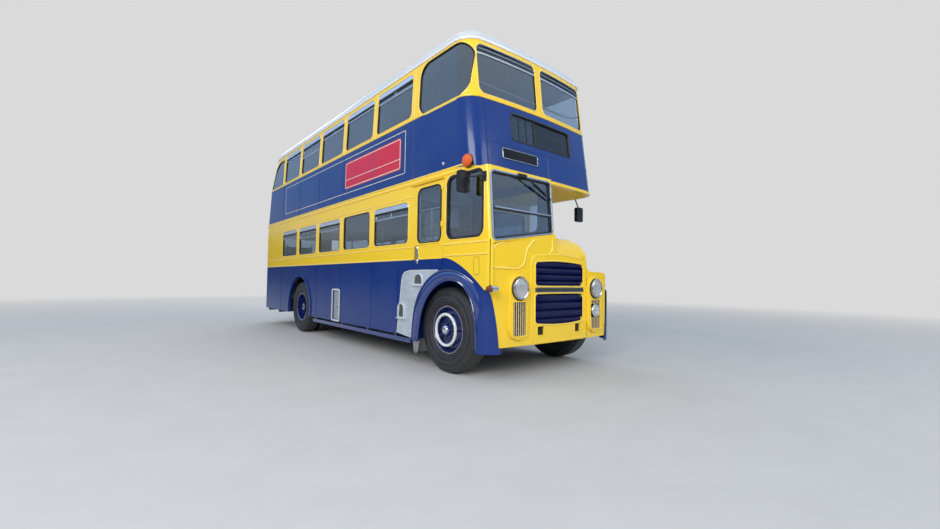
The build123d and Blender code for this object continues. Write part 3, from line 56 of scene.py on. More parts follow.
# Distances from the middle of the bus to one side
HALF_WIDTH = 1.22
WING_X = 1.232
LAMP_X = 0.762
REAR_NUT_X = 0.97
REAR_HUB_X = 1.112

# Heights from the road
WHEEL_Z = 0.53
LAMP_Z = 1.056
WAIST = 1.415
SILL_BEAD = 1.58
HEAD_BEAD = 2.265
DECK_UNDER = 2.43
BLUE_FOOT = 2.505
SILL = 3.35
GUTTER = 4.11
LOWER_Z = (1.645, 2.215)
UPPER_Z = (3.40, 4.03)

# How far the cab's front leans back, and how far the blue band dips at the nose
CAB_LEAN = 0.06
NOSE_DIP = 0.035


def row_y(station):
    """Row Y of a station."""
    return FRONT_AXLE_Y + station


def blend(a, b, t):
    """Value a share of the way from a to b."""
    return a + (b - a) * t


OFFSIDE, FORWARD, BACKWARD = (-1, 0, 0), (0, -1, 0), (0, 1, 0)
SIDES = (-1, 1)
SIDE_WORDS = ((-1, "offside"), (1, "nearside"))


# Body surfaces

# height, half width, front station, rear station, front radius, rear radius
SKIN = (
    (0.0, HALF_WIDTH, -0.610, REAR, 0.230, 0.180),
    (DECK_UNDER, HALF_WIDTH, -0.610, REAR, 0.230, 0.180),
    (SILL, 1.215, -0.495, REAR - 0.085, 0.240, 0.280),
    (GUTTER, 1.180, -0.420, REAR - 0.285, 0.260, 0.520),
    (4.40, 1.167, -0.391, REAR - 0.361, 0.268, 0.612),
)
BOW = 0.045


def skin(z):
    """Half width, front, rear and corner radii of the outer skin at a height."""
    for low, high in zip(SKIN, SKIN[1:]):
        if z <= high[0]:
            t = (z - low[0]) / (high[0] - low[0])
            return [blend(a, b, t) for a, b in zip(low[1:], high[1:])]
    return list(SKIN[-1][1:])


def side_point(side, station, z, out=0.0):
    """Point on a side of the body, following the rounded corners."""
    half, front, rear, r_front, r_rear = skin(z)
    turn = front + BOW + r_front
    back = rear - r_rear
    x = half
    if station < turn and z > DECK_UNDER:
        x = half - r_front + math.sqrt(max(r_front ** 2 - (turn - station) ** 2, 0))
    if station > back:
        x = half - r_rear + math.sqrt(max(r_rear ** 2 - (station - back) ** 2, 0))
    return Vector((side * (x + out), row_y(station), z))


def front_point(x, z, out=0.0):
    """Point on the upper deck's bowed front."""
    half, front, rear, r_front, r_rear = skin(z)
    flat = half - r_front
    station = front + BOW * min(abs(x) / flat, 1) ** 2
    if abs(x) > flat:
        station += r_front - math.sqrt(max(r_front ** 2 - (abs(x) - flat) ** 2, 0))
    return Vector((x, row_y(station - out), z))


def rear_point(x, z, out=0.0):
    """Point on the rear of the body."""
    half, front, rear, r_front, r_rear = skin(z)
    if z < DECK_UNDER:
        r_rear = 0.17
    flat = half - r_rear
    station = rear
    if abs(x) > flat:
        station -= r_rear - math.sqrt(max(r_rear ** 2 - (abs(x) - flat) ** 2, 0))
    return Vector((x, row_y(station + out), z))


def cab_front_point(x, z, out=0.0):
    """Point on the raked front of the cab."""
    lean = CAB_LEAN * max(z - SILL_BEAD, 0) / (DECK_UNDER - SILL_BEAD)
    return Vector((x, row_y(NOSE + lean - out), z))


def flat_side(side, x=HALF_WIDTH):
    """Surface function of an upright plane at an X, facing out on one side."""
    return lambda station, z, out=0.0: Vector((side * (x + out), row_y(station), z))


def flat_front(station, facing):
    """Surface function of an upright plane across the bus."""
    return lambda x, z, out=0.0: Vector((x, row_y(station + facing * out), z))


def body_side(side):
    """Surface function of one side of the body."""
    return lambda station, z, out=0.0: side_point(side, station, z, out)


# Mesh making


TINY = 0.0002


class Piece:
    """Gathers shapes into one mesh, each with its own material."""

    def __init__(self, name):
        self.name = name
        self.verts = []
        self.faces = []
        self.owner = []
        self.materials = []

    def add(self, verts, faces, material):
        """Take in a shape of one material."""
        if material not in self.materials:
            self.materials.append(material)
        index = self.materials.index(material)
        base = len(self.verts)
        self.verts.extend(Vector(v) for v in verts)
        self.faces.extend([base + i for i in face] for face in faces)
        self.owner.extend([index] * len(faces))

    def make(self, body, sharp=35):
        """Turn what was gathered into an object that rides on a body."""
        mesh = bpy.data.meshes.new(self.name)
        mesh.from_pydata([tuple(v) for v in self.verts], [], self.faces)
        for material in self.materials:
            mesh.materials.append(material)
        mesh.polygons.foreach_set("material_index", self.owner)
        mesh.polygons.foreach_set("use_smooth", [True] * len(self.faces))
        mesh.validate()
        build = bmesh.new()
        build.from_mesh(mesh)
        bmesh.ops.recalc_face_normals(build, faces=build.faces)
        build.to_mesh(mesh)
        build.free()
        mesh.update()
        mesh.set_sharp_from_angle(angle=math.radians(sharp))
        obj = bpy.data.objects.new(self.name, mesh)
        bpy.context.scene.collection.objects.link(obj)
        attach(obj, body)
        return obj


def ring_faces(rows, count, closed=False):
    """Quads between rings of points, with capped ends unless the rings close on themselves."""
    faces = []
    for i in range(rows if closed else rows - 1):
        here, there = i * count, (i + 1) % rows * count
        for j in range(count):
            k = (j + 1) % count
            faces.append((here + j, here + k, there + k, there + j))
    if not closed:
        faces.append(tuple(reversed(range(count))))
        faces.append(tuple(range((rows - 1) * count, rows * count)))
    return faces


def headings(points, closed):
    """Direction of travel at each point of a path."""
    last = len(points) - 1
    found = []
    for i, point in enumerate(points):
        before = points[i - 1] if closed or i else point
        after = points[(i + 1) % (last + 1)] if closed or i < last else point
        found.append((after - before).normalized())
    return found


def sweep(piece, points, normals, profile, material, closed=True):
    """Carry an (across, out) profile along points lying on a surface."""
    rows = []
    for point, normal, along in zip(points, normals, headings(points, closed)):
        across = normal.cross(along).normalized()
        out = along.cross(across).normalized()
        rows.extend(point + across * a + out * b for a, b in profile)
    piece.add(rows, ring_faces(len(points), len(profile), closed), material)


def surface_normal(surface, a, b):
    """Outward normal of a surface function near a place."""
    d = 0.002
    u = surface(a + d, b) - surface(a - d, b)
    v = surface(a, b + d) - surface(a, b - d)
    n = u.cross(v).normalized()
    away = surface(a, b, 0.01) - surface(a, b)
    return n if n.dot(away) > 0 else -n


def follow(piece, surface, path, profile, material, closed=False):
    """Sweep a profile along an (a, b) path on a surface function."""
    points = [surface(a, b) for a, b in path]
    normals = [surface_normal(surface, a, b) for a, b in path]
    sweep(piece, points, normals, profile, material, closed)


def strip(piece, surface, path, profile, material, step=0.1):
    """Sweep a profile along an open path whose long runs are cut up."""
    follow(piece, surface, fill_long(path, step, False), profile, material)


def half_round(width, height, sink=0.002, n=6):
    """Half-round bead profile."""
    turns = [math.pi * i / n for i in range(n + 1)]
    arc = [(-width / 2 * math.cos(t), height * math.sin(t)) for t in turns]
    return [(width / 2, -sink), (-width / 2, -sink)] + arc


def square_bar(half, low, high):
    """Square-edged strip profile between two depths."""
    return [(-half, low), (half, low), (half, high), (-half, high)]


def chamfered_bar(half, low, high, cut, drop):
    """Strip profile between two depths with its outer corners cut off."""
    return [(-half, low), (half, low), (half, high - drop), (half - cut, high), (cut - half, high),
            (-half, high - drop)]


def flat_bar(width, height, sink=0.002, edge=0.0015):
    """Flat strip profile with eased corners."""
    w, shoulder = width / 2, height - edge
    return [(w, -sink), (-w, -sink), (-w, shoulder), (-w + edge, height), (w - edge, height), (w, shoulder)]


def round_rect(a0, a1, b0, b1, radius, n=6):
    """Rounded rectangle as points, going round from the lower right."""
    points = []
    radii = radius if isinstance(radius, (tuple, list)) else [radius] * 4
    corners = (
        (a1 - radii[0], b0 + radii[0], -90, radii[0]),
        (a1 - radii[1], b1 - radii[1], 0, radii[1]),
        (a0 + radii[2], b1 - radii[2], 90, radii[2]),
        (a0 + radii[3], b0 + radii[3], 180, radii[3]),
    )
    for ca, cb, start, r in corners:
        for i in range(n + 1):
            t = math.radians(start + 90 * i / n)
            points.append((ca + r * math.cos(t), cb + r * math.sin(t)))
    return fill_long(points, 0.08)


def fill_long(points, step, closed=True):
    """Add points along the long runs of a path."""
    out = []
    total = len(points)
    for i in range(total if closed else total - 1):
        a, b = points[i], points[(i + 1) % total]
        length = math.dist(a, b)
        parts = max(1, int(length / step))
        for k in range(parts):
            t = k / parts
            out.append((blend(a[0], b[0], t), blend(a[1], b[1], t)))
    if not closed:
        out.append(points[-1])
    return out


def grown(outline, amount):
    """The same closed outline moved outwards by an amount."""
    after = outline[1:] + outline[:1]
    area = sum(p[0] * q[1] - q[0] * p[1] for p, q in zip(outline, after))
    amount = amount if area > 0 else -amount
    out = []
    for i, (p, q) in enumerate(zip(outline, after)):
        dx, dy = q[0] - outline[i - 1][0], q[1] - outline[i - 1][1]
        length = math.hypot(dx, dy) or 1
        out.append((p[0] + amount * dy / length, p[1] - amount * dx / length))
    return out


def plate(piece, surface, outline, low, high, material, edge=0.0):
    """Closed plate over an outline on a surface, from one depth to another."""
    levels = [(outline, low), (outline, high - edge)]
    if edge:
        levels.append((grown(outline, -edge), high))
    verts = [surface(a, b, depth) for ring, depth in levels for a, b in ring]
    piece.add(verts, ring_faces(len(levels), len(outline)), material)


def pane(name, body, surface, outline):
    """Piece of window glass that lies a little inside a surface."""
    piece = Piece(name)
    plate(piece, surface, outline, -0.022, -0.016, GLASS)
    piece.make(body)


def circle(middle, u, v, radius, count, start=0.0):
    """Points of a circle in the plane of two directions."""
    turns = (2 * math.pi * (k + start) / count for k in range(count))
    return [middle + (u * math.cos(t) + v * math.sin(t)) * radius for t in turns]


def lathe(piece, place, axis, profile, material, count=32):
    """Revolve an (along, radius) profile about an axis through a place."""
    axis = Vector(axis).normalized()
    side = axis.orthogonal().normalized()
    up = axis.cross(side)
    verts = []
    for along, radius in profile:
        verts += circle(Vector(place) + axis * along, side, up, max(radius, TINY), count)
    piece.add(verts, ring_faces(len(profile), count), material)


def tube(piece, points, radius, material, count=10, closed=False):
    """Round tube through points."""
    points = [Vector(p) for p in points]
    ways = headings(points, closed)
    up = ways[0].orthogonal().normalized()
    rows = []
    for point, along in zip(points, ways):
        up = (up - along * up.dot(along)).normalized()
        rows += circle(point, up, along.cross(up), radius, count)
    piece.add(rows, ring_faces(len(points), count, closed), material)


def smooth_path(points, steps=6):
    """Catmull-Rom path through points."""
    points = [Vector(p) for p in points]
    out = []
    for i in range(len(points) - 1):
        p0 = points[max(i - 1, 0)]
        p1, p2 = points[i], points[i + 1]
        p3 = points[min(i + 2, len(points) - 1)]
        for k in range(steps):
            t = k / steps
            out.append(
                0.5 * ((2 * p1) + (p2 - p0) * t + (2 * p0 - 5 * p1 + 4 * p2 - p3) * t * t
                       + (3 * p1 - p0 - 3 * p2 + p3) * t ** 3)
            )
    out.append(points[-1])
    return out


def block(piece, low, high, material, bevel=0.004):
    """Box with bevelled edges."""
    middle, half = (Vector(high) + Vector(low)) / 2, (Vector(high) - Vector(low)) / 2
    bevel = min(bevel, min(half) * 0.9)
    verts, index = [], {}
    faces = []

    def face(corners, outwards):
        found = tuple(index[corner] for corner in corners)
        faces.append(found if outwards else tuple(reversed(found)))

    for axis, sign, u, v in itertools.product(range(3), SIDES, SIDES, SIDES):
        place = [0, 0, 0]
        place[axis] = sign * half[axis]
        place[(axis + 1) % 3] = u * (half[(axis + 1) % 3] - bevel)
        place[(axis + 2) % 3] = v * (half[(axis + 2) % 3] - bevel)
        index[(axis, sign, u, v)] = len(verts)
        verts.append(middle + Vector(place))
    for axis, sign in itertools.product(range(3), SIDES):
        face([(axis, sign, u, v) for u, v in ((-1, -1), (1, -1), (1, 1), (-1, 1))], sign > 0)
    for axis, s, t in itertools.product(range(3), SIDES, SIDES):
        after = (axis + 1) % 3
        face([(axis, s, t, -1), (axis, s, t, 1), (after, t, 1, s), (after, t, -1, s)], s * t > 0)
    for x, y, z in itertools.product(SIDES, SIDES, SIDES):
        face([(0, x, y, z), (1, y, z, x), (2, z, x, y)], x * y * z > 0)
    piece.add(verts, faces, material)


# Materials


class Value:
    """Output of a node, written in sums like a plain number."""

    def __init__(self, surface, socket):
        self.surface = surface
        self.socket = socket

    def __add__(self, other):
        return self.surface.math("ADD", self, other)

    def __sub__(self, other):
        return self.surface.math("SUBTRACT", self, other)

    def __rsub__(self, other):
        return self.surface.math("SUBTRACT", other, self)

    def __mul__(self, other):
        return self.surface.math("MULTIPLY", self, other)

    def __lt__(self, other):
        return self.surface.math("LESS_THAN", self, other)

    def __gt__(self, other):
        return self.surface.math("GREATER_THAN", self, other)


INPUT_NAMES = {
    "color": "Base Color",
    "coat": "Coat Weight",
    "coat_rough": "Coat Roughness",
    "ior": "IOR",
    "trans": "Transmission Weight",
    "sheen": "Sheen Weight",
    "specular": "Specular IOR Level",
}


class Surface:
    """A Principled material under construction."""

    def __init__(self, name):
        self.material = bpy.data.materials.new(name)
        self.material.use_nodes = True
        self.tree = self.material.node_tree
        self.tree.nodes.clear()
        self.out = self.tree.nodes.new("ShaderNodeOutputMaterial")
        self.bsdf = self.tree.nodes.new("ShaderNodeBsdfPrincipled")
        self.tree.links.new(self.bsdf.outputs[0], self.out.inputs[0])
        self._coords = None
        self._xyz = None

    def node(self, kind, inputs=(), **values):
        """Add a node with its settings, and fill its inputs."""
        made = self.tree.nodes.new(kind)
        for key, value in values.items():
            setattr(made, key, value)
        for key, value in dict(inputs).items():
            self.put(made.inputs[key], value)
        return made

    def put(self, target, value):
        """Link a socket, or set a plain value."""
        if isinstance(value, Value):
            value = value.socket
        if isinstance(value, bpy.types.NodeSocket):
            self.tree.links.new(value, target)
        elif isinstance(value, (tuple, list)) and len(value) == 3 and len(target.default_value) == 4:
            target.default_value = (*value, 1)
        else:
            target.default_value = value

    def set(self, **values):
        """Fill inputs of the shader by their short names."""
        for key, value in values.items():
            self.put(self.bsdf.inputs[INPUT_NAMES.get(key, key.capitalize())], value)

    def split(self, vector):
        """X, Y and Z of a vector."""
        return [Value(self, part) for part in self.node("ShaderNodeSeparateXYZ", {0: vector}).outputs]

    def coords(self):
        """The point in the axes of the bus."""
        if self._coords is None:
            self._coords = self.node("ShaderNodeTexCoord").outputs["Object"]
        return self._coords

    def xyz(self):
        """The point's X, Y and Z."""
        if self._xyz is None:
            self._xyz = self.split(self.coords())
        return self._xyz

    def math(self, operation, a, b=0.0, c=0.0, clamp=False):
        """Result of a sum of values or sockets."""
        made = self.node("ShaderNodeMath", {0: a, 1: b, 2: c}, operation=operation, use_clamp=clamp)
        return Value(self, made.outputs[0])

    def above(self, value, limit, soft=0.0):
        """1 where a value is over a limit."""
        if not soft:
            return value > limit
        return self.math("MULTIPLY_ADD", value, 1 / soft, -limit / soft + 0.5, clamp=True)

    def between(self, value, low, high, soft=0.0):
        """1 where a value is between two limits."""
        return self.above(value, low, soft) * (1.0 - self.above(value, high, soft))

    def stripes(self, value):
        """How far a value is from the middle of its unit stripe."""
        return self.math("ABSOLUTE", self.math("FRACT", value) - 0.5)

    def from_hub(self, station):
        """How far the point is behind and above the middle of a wheel, and from its axis."""
        x, y, z = self.xyz()
        behind, up = y - row_y(station), z - WHEEL_Z
        return behind, up, self.math("SQRT", behind * behind + up * up)

    def mix(self, factor, a, b):
        """Colour a share of the way from a to b."""
        made = self.node("ShaderNodeMix", data_type="RGBA")
        for key, value in (("Factor", factor), (6, a), (7, b)):
            self.put(made.inputs[key], value)
        return Value(self, made.outputs[2])

    def noise(self, scale, detail=4.0, rough=0.5, stretch=None):
        """Noise, drawn out where its axes are stretched."""
        source = self.coords()
        if stretch:
            source = self.node("ShaderNodeMapping", {0: source, "Scale": stretch}).outputs[0]
        inputs = {"Scale": scale, "Detail": detail, "Roughness": rough, "Vector": source}
        return Value(self, self.node("ShaderNodeTexNoise", inputs).outputs["Fac"])

    def remap(self, value, low, high, new_low=0.0, new_high=1.0):
        """A value moved from one range to another, and held inside it."""
        inputs = {"Value": value, "From Min": low, "From Max": high, "To Min": new_low, "To Max": new_high}
        return Value(self, self.node("ShaderNodeMapRange", inputs, clamp=True).outputs[0])

    def bump(self, height, strength, distance):
        """Let a height shape the surface's normal."""
        inputs = {"Strength": strength, "Distance": distance, "Height": height}
        self.put(self.bsdf.inputs["Normal"], self.node("ShaderNodeBump", inputs).outputs[0])


BLUE = (0.002, 0.029, 0.190)
NAVY = (0.001, 0.004, 0.060)
YELLOW = (0.95, 0.63, 0.030)
CREAM = (0.78, 0.70, 0.50)
GRIME = (0.10, 0.085, 0.065)
BACKDROP = (0.70, 0.70, 0.70)


def finish_paint(s, color, coat=0.25, specular=0.26):
    """Gloss coach paint over a colour: faint waves and clouds, and road film low down."""
    cloud = s.noise(1.6, 5.0, 0.6)
    low_down = s.remap(s.xyz()[2], 0.30, 1.05, 1.0, 0.0)
    film = low_down * s.remap(s.noise(7.0, 6.0, 0.65, (1, 0.35, 1.5)), 0.42, 0.75)
    shade = s.mix(s.remap(cloud, 0.3, 0.7, 0.0, 0.025), color, (0.5, 0.48, 0.42))
    shade = s.mix(film * 0.10, shade, GRIME)
    s.set(color=shade, roughness=s.remap(film, 0.0, 1.0, 0.18, 0.38), specular=specular)
    s.set(coat=coat, coat_rough=0.05)
    s.bump(s.noise(14.0, 2.0, 0.4) * 0.8 + s.noise(420.0, 2.0, 0.5) * 0.06, 0.10, 0.004)
    return s.material


def interior_mask(s):
    """1 on faces that look into the saloons: their normal points to the middle."""
    geometry = s.node("ShaderNodeNewGeometry")
    to_object = s.node("ShaderNodeVectorTransform", {0: geometry.outputs["True Normal"]},
                       vector_type="NORMAL", convert_from="WORLD", convert_to="OBJECT")
    across, along, up = s.split(to_object.outputs[0])
    x, y, z = s.xyz()
    ends = s.above(y, 3.5) - (1.0 - s.above(y, -3.45))
    return across * s.math("SIGN", x) + along * ends < -0.35


def body_paint():
    """Blue and yellow coach paint in the bands of the bus, with a lining inside."""
    s = Surface("coach_paint")
    x, y, z = s.xyz()
    ahead = s.remap(y, row_y(-0.30), row_y(-0.10), 1.0, 0.0)
    foot = s.math("MULTIPLY_ADD", ahead, -NOSE_DIP, BLUE_FOOT)
    blue = s.math("MAXIMUM", z < WAIST, (z > foot) * (z < SILL))
    lining = s.mix(s.between(z, 2.40, 3.36), CREAM, (0.42, 0.30, 0.17))
    lining = s.mix(z < 1.6, lining, (0.20, 0.12, 0.07))
    return finish_paint(s, s.mix(interior_mask(s), s.mix(blue, YELLOW, BLUE), lining))


def cab_paint():
    """Cab side: yellow that sweeps down over the blue behind the front wheel arch."""
    s = Surface("cab_paint")
    x, y, z = s.xyz()
    station = y - FRONT_AXLE_Y
    # the boundary falls from the waist to the headlamp's height in an arc
    fall = s.math("POWER", s.remap(station, -0.03, -0.76), 1.6)
    edge = s.math("MULTIPLY_ADD", fall, 1.03 - WAIST, WAIST)
    color = s.mix((z < edge) * (x < -1.165), YELLOW, BLUE)
    lean = s.remap(z, 1.04, DECK_UNDER, 0.0, CAB_LEAN)
    behind = station - lean > NOSE + 0.030
    return finish_paint(s, s.mix(s.between(x, -1.186, -0.100) * behind, color, (0.045, 0.06, 0.10)))


def plain_paint(name, color, coat=0.25, specular=0.26):
    """Coach paint of one colour."""
    return finish_paint(Surface(name), color, coat, specular)


def grille_paint():
    """Navy louvres in the middle, and near black between the brass bars at the sides as painted shade in the
    gaps.
    """
    s = Surface("grille_paint")
    # Past the louvres the paint is near black: painted shade between the brass bars
    outer = s.above(s.math("ABSOLUTE", s.xyz()[0]), 0.60)
    return finish_paint(s, s.mix(outer, NAVY, (0.004, 0.004, 0.006)), 0.02, 0.08)


def roof_paint():
    """Pale roof with streaks of dirt, yellow below the gutter."""
    s = Surface("roof_paint")
    streak = s.noise(5.0, 6.0, 0.62, (2.2, 0.5, 1.0))
    fleck = s.noise(60.0, 4.0, 0.6)
    dirt = s.remap(streak * 0.8 + fleck * 0.2, 0.46, 0.72)
    color = s.mix(dirt * 0.30, (0.60, 0.64, 0.68), (0.42, 0.42, 0.38))
    color = s.mix(s.xyz()[2] < GUTTER - 0.022, color, YELLOW)
    s.set(color=color, roughness=s.remap(dirt, 0, 1, 0.32, 0.55), specular=0.5, coat=0.3, coat_rough=0.15)
    s.bump(s.noise(9.0, 2.0) + fleck * 0.15, 0.12, 0.004)
    return s.material


def metal(name, color, rough, brushed=None, scratches=0.15, metallic=1.0):
    """Metal with smears and fine scratches, drawn out where it is brushed."""
    s = Surface(name)
    streak = s.noise(90.0, 4.0, 0.6, brushed)
    smear = s.noise(6.0, 4.0, 0.6)
    shade = s.mix(s.remap(smear, 0.35, 0.7, 0.0, 0.35), color, tuple(c * 0.72 for c in color))
    worn = s.remap(streak * 0.6 + smear * 0.4, 0.3, 0.7, rough * 0.8, rough * 1.35)
    s.set(color=shade, metallic=metallic, roughness=worn)
    s.bump(streak, scratches, 0.0006)
    return s.material


def step_metal():
    """Bare dull alloy sheet with scuffs."""
    s = Surface("bare_sheet")
    smear = s.noise(5.0, 6.0, 0.65, (1, 1, 2.0))
    scratch = s.noise(120.0, 3.0, 0.7, (1, 0.15, 1))
    color = s.mix(s.remap(smear, 0.35, 0.7), (0.60, 0.67, 0.73), (0.42, 0.48, 0.54))
    color = s.mix(s.remap(scratch, 0.62, 0.75, 0.0, 0.6), color, (0.66, 0.69, 0.72))
    s.set(color=color, metallic=0.35, roughness=s.remap(smear, 0.3, 0.7, 0.30, 0.52), specular=0.5)
    s.bump(scratch + smear * 2.0, 0.15, 0.0015)
    return s.material


def rubber(name, color=(0.012, 0.012, 0.013), rough=0.5):
    """Grained rubber with a little dust."""
    s = Surface(name)
    grain = s.noise(260.0, 4.0, 0.6)
    dust = s.remap(s.noise(11.0, 5.0, 0.6), 0.45, 0.75, 0.0, 0.35)
    s.set(color=s.mix(dust, color, (0.09, 0.085, 0.08)), specular=0.45,
          roughness=s.remap(grain, 0.3, 0.7, rough * 0.85, rough * 1.2))
    s.bump(grain, 0.25, 0.0006)
    return s.material


def tyre_rubber(name, centre_x, station, half_width=0.135):
    """Tyre: ribbed sidewall with lighter rib rings as a painted highlight, tread blocks cut by angle with
    grooves painted darker as shade, and road dust.
    """
    s = Surface(name)
    behind, up, radius = s.from_hub(station)
    angle = s.math("ARCTAN2", up, behind)
    off = s.xyz()[0] - centre_x
    tread = s.above(radius, 0.497, 0.004)
    # zigzag grooves run round the tread, and slanted cuts cross its shoulders
    lane = off + s.math("PINGPONG", angle * 34.0, 1.0) * 0.012
    groove = s.remap(s.stripes(lane * 21.0), 0.36, 0.42)
    cuts = s.remap(s.stripes((angle + off * 1.4) * 14.3), 0.34, 0.40)
    shoulder = s.above(s.math("ABSOLUTE", off), half_width * 0.52, 0.006)
    depth = s.math("MAXIMUM", groove, cuts * shoulder)
    rings = s.math("SINE", radius * 700.0) * s.between(radius, 0.310, 0.345, 0.006)
    rib = s.between(radius, 0.398, 0.408, 0.004) + s.between(radius, 0.468, 0.476, 0.004)
    ribs = s.math("SINE", angle * 150.0) * s.between(radius, 0.478, 0.494, 0.003)
    side = rings * 0.10 + rib * 0.45 + ribs * 0.14
    grain = s.noise(180.0, 4.0, 0.65)
    dust = s.remap(s.noise(9.0, 6.0, 0.65), 0.35, 0.75, 0.0, 0.55)
    # Lighter grey on the tread is road dust; lighter grey on the rib rings is a painted highlight
    dust = s.math("MAXIMUM", s.math("MAXIMUM", dust * 0.6, tread * 0.55), rib * 0.7)
    black = s.mix(dust, (0.010, 0.011, 0.013), (0.080, 0.080, 0.082))
    # Grooves go darker than the rubber itself: painted shade in them
    color = s.mix(depth * tread * 0.85, black, (0.004, 0.004, 0.004))
    s.set(color=color, roughness=s.remap(grain, 0.3, 0.7, 0.42, 0.62), specular=0.5)
    s.bump((1.0 - depth) * tread + side + grain * 0.02, 0.9, 0.010)
    return s.material


def wheel_paint(name, station):
    """Blue wheel with a pale painted highlight along its rim edge, and a little grime."""
    s = Surface(name)
    radius = s.from_hub(station)[2]
    grime = s.remap(s.noise(16.0, 5.0, 0.65), 0.4, 0.75)
    color = s.mix(grime * 0.05, (0.004, 0.013, 0.110), GRIME)
    # Pale mauve beyond this radius: a painted highlight on the rim's edge
    color = s.mix(s.above(radius, 0.286), color, (0.42, 0.34, 0.36))
    s.set(color=color, roughness=s.remap(grime, 0, 1, 0.18, 0.5), specular=0.5, coat=0.6, coat_rough=0.08)
    s.bump(s.noise(70.0, 4.0, 0.6), 0.05, 0.002)
    return s.material


def window_glass():
    """Window glass with faint smears in its roughness, and a blue-grey tint that darkens what is seen through
    it as painted shade.
    """
    s = Surface("window_glass")
    smear = s.noise(3.5, 5.0, 0.7, (1, 1, 2.5))
    # The blue-grey tint darkens the saloons behind the glass: painted shade
    s.set(color=(0.50, 0.60, 0.72), trans=1.0, ior=2.0, specular=1.0)
    s.set(roughness=s.remap(smear, 0.5, 0.8, 0.0, 0.06))
    s.bump(s.noise(2.2, 2.0), 0.05, 0.003)
    return s.material


def ribbed_lens(name, tint, scale, rough, axis, trans=0.9):
    """Pressed lamp glass with flutes."""
    s = Surface(name)
    s.set(color=tint, trans=trans, ior=1.5, specular=0.5)
    s.set(roughness=s.remap(s.noise(30.0), 0.3, 0.7, rough, rough + 0.05))
    s.bump(s.math("SINE", s.xyz()[axis] * scale), 0.45, 0.0025)
    return s.material


def moquette():
    """Seat cloth: a small woven check with pile."""
    s = Surface("seat_cloth")
    x, y, z = s.xyz()
    down = y + z
    weave = s.math("SINE", x * 1400.0) * s.math("SINE", down * 1400.0)
    cells = [s.math("FRACT", way * 22.0) for way in (x, down)]
    check = s.above(cells[0], 0.5, 0.06) * s.above(cells[1], 0.5, 0.06)
    spot = s.between(cells[0], 0.16, 0.34, 0.04) * s.between(cells[1], 0.16, 0.34, 0.04)
    color = s.mix(check, (0.13, 0.018, 0.022), (0.035, 0.03, 0.07))
    color = s.mix(spot, color, (0.42, 0.30, 0.14))
    wear = s.remap(s.noise(4.0, 5.0, 0.6), 0.4, 0.75, 0.0, 0.3)
    s.set(color=s.mix(wear, color, (0.24, 0.12, 0.10)), roughness=0.92, specular=0.2, sheen=0.35)
    s.bump(weave + s.noise(500.0, 2.0), 0.5, 0.0012)
    return s.material


def vinyl():
    """Dark red edging of the seats, grained and creased."""
    s = Surface("seat_vinyl")
    color = (0.075, 0.012, 0.012)
    grain = s.node("ShaderNodeTexVoronoi", {"Scale": 420.0, "Vector": s.coords()})
    crease = s.noise(18.0, 5.0, 0.6)
    s.set(color=s.mix(s.remap(crease, 0.35, 0.7, 0, 0.3), color, tuple(c * 1.6 for c in color)),
          roughness=s.remap(crease, 0.3, 0.7, 0.38, 0.55), specular=0.45)
    s.bump(s.math("ADD", grain.outputs["Distance"], crease), 0.35, 0.0012)
    return s.material


def covering(s):
    """Ribs, scuffs and colour of the dark floor covering."""
    rib = s.math("SINE", s.xyz()[0] * 420.0)
    scuff = s.remap(s.noise(6.0, 6.0, 0.65), 0.4, 0.75)
    return rib, scuff, s.mix(scuff, (0.055, 0.050, 0.046), (0.14, 0.125, 0.11))


def floor_cover():
    """Ribbed dark floor covering with scuffs."""
    s = Surface("floor_cover")
    rib, scuff, color = covering(s)
    s.set(color=color, roughness=s.remap(scuff, 0, 1, 0.5, 0.8), specular=0.3)
    s.bump(rib, 0.4, 0.002)
    return s.material


def canopy_floor():
    """Upper floor: covering on top, cream ceiling below, yellow over the bonnet."""
    s = Surface("upper_floor_finish")
    x, y, z = s.xyz()
    rib, scuff, color = covering(s)
    under = s.mix(y < row_y(0.69), (0.66, 0.60, 0.44), YELLOW)
    top = s.above(z, 2.49)
    s.set(color=s.mix(top, under, color), roughness=s.remap(scuff, 0, 1, 0.40, 0.65), specular=0.12)
    s.bump(rib * top, 0.4, 0.002)
    return s.material


def laminate():
    """Cream laminate above, brown grained panel below."""
    s = Surface("laminate")
    grain = s.noise(7.0, 6.0, 0.6, (6.0, 6.0, 0.5))
    wood = s.mix(s.remap(grain, 0.35, 0.65), (0.20, 0.09, 0.035), (0.33, 0.17, 0.07))
    s.set(color=s.mix(s.above(s.xyz()[2], 1.45), wood, CREAM), specular=0.5)
    s.set(roughness=s.remap(s.noise(25.0), 0.3, 0.7, 0.28, 0.45))
    s.bump(s.noise(160.0, 3.0), 0.10, 0.0008)
    return s.material


def black_steel(name, color=(0.018, 0.018, 0.020), rough=0.42):
    """Painted steel with mud and spots of rust."""
    s = Surface(name)
    mud = s.remap(s.noise(7.0, 6.0, 0.65), 0.40, 0.72)
    rust = s.remap(s.noise(23.0, 5.0, 0.7), 0.62, 0.75, 0.0, 0.5)
    shade = s.mix(rust, s.mix(mud * 0.5, color, (0.085, 0.075, 0.062)), (0.14, 0.055, 0.022))
    s.set(color=shade, roughness=s.remap(mud, 0, 1, rough, 0.85), specular=0.4)
    s.bump(s.noise(60.0, 5.0, 0.65), 0.3, 0.002)
    return s.material


def blind(name, color, pale):
    """Roller blind behind glass, glossy in front."""
    s = Surface(name)
    fold = s.noise(5.0, 3.0, 0.5, (0.4, 1, 3))
    s.set(color=s.mix(s.remap(fold, 0.35, 0.7, 0, 0.5), color, pale), specular=0.3, coat=0.2,
          coat_rough=0.05, roughness=s.remap(fold, 0.3, 0.7, 0.12, 0.2))
    s.bump(fold, 0.15, 0.003)
    return s.material


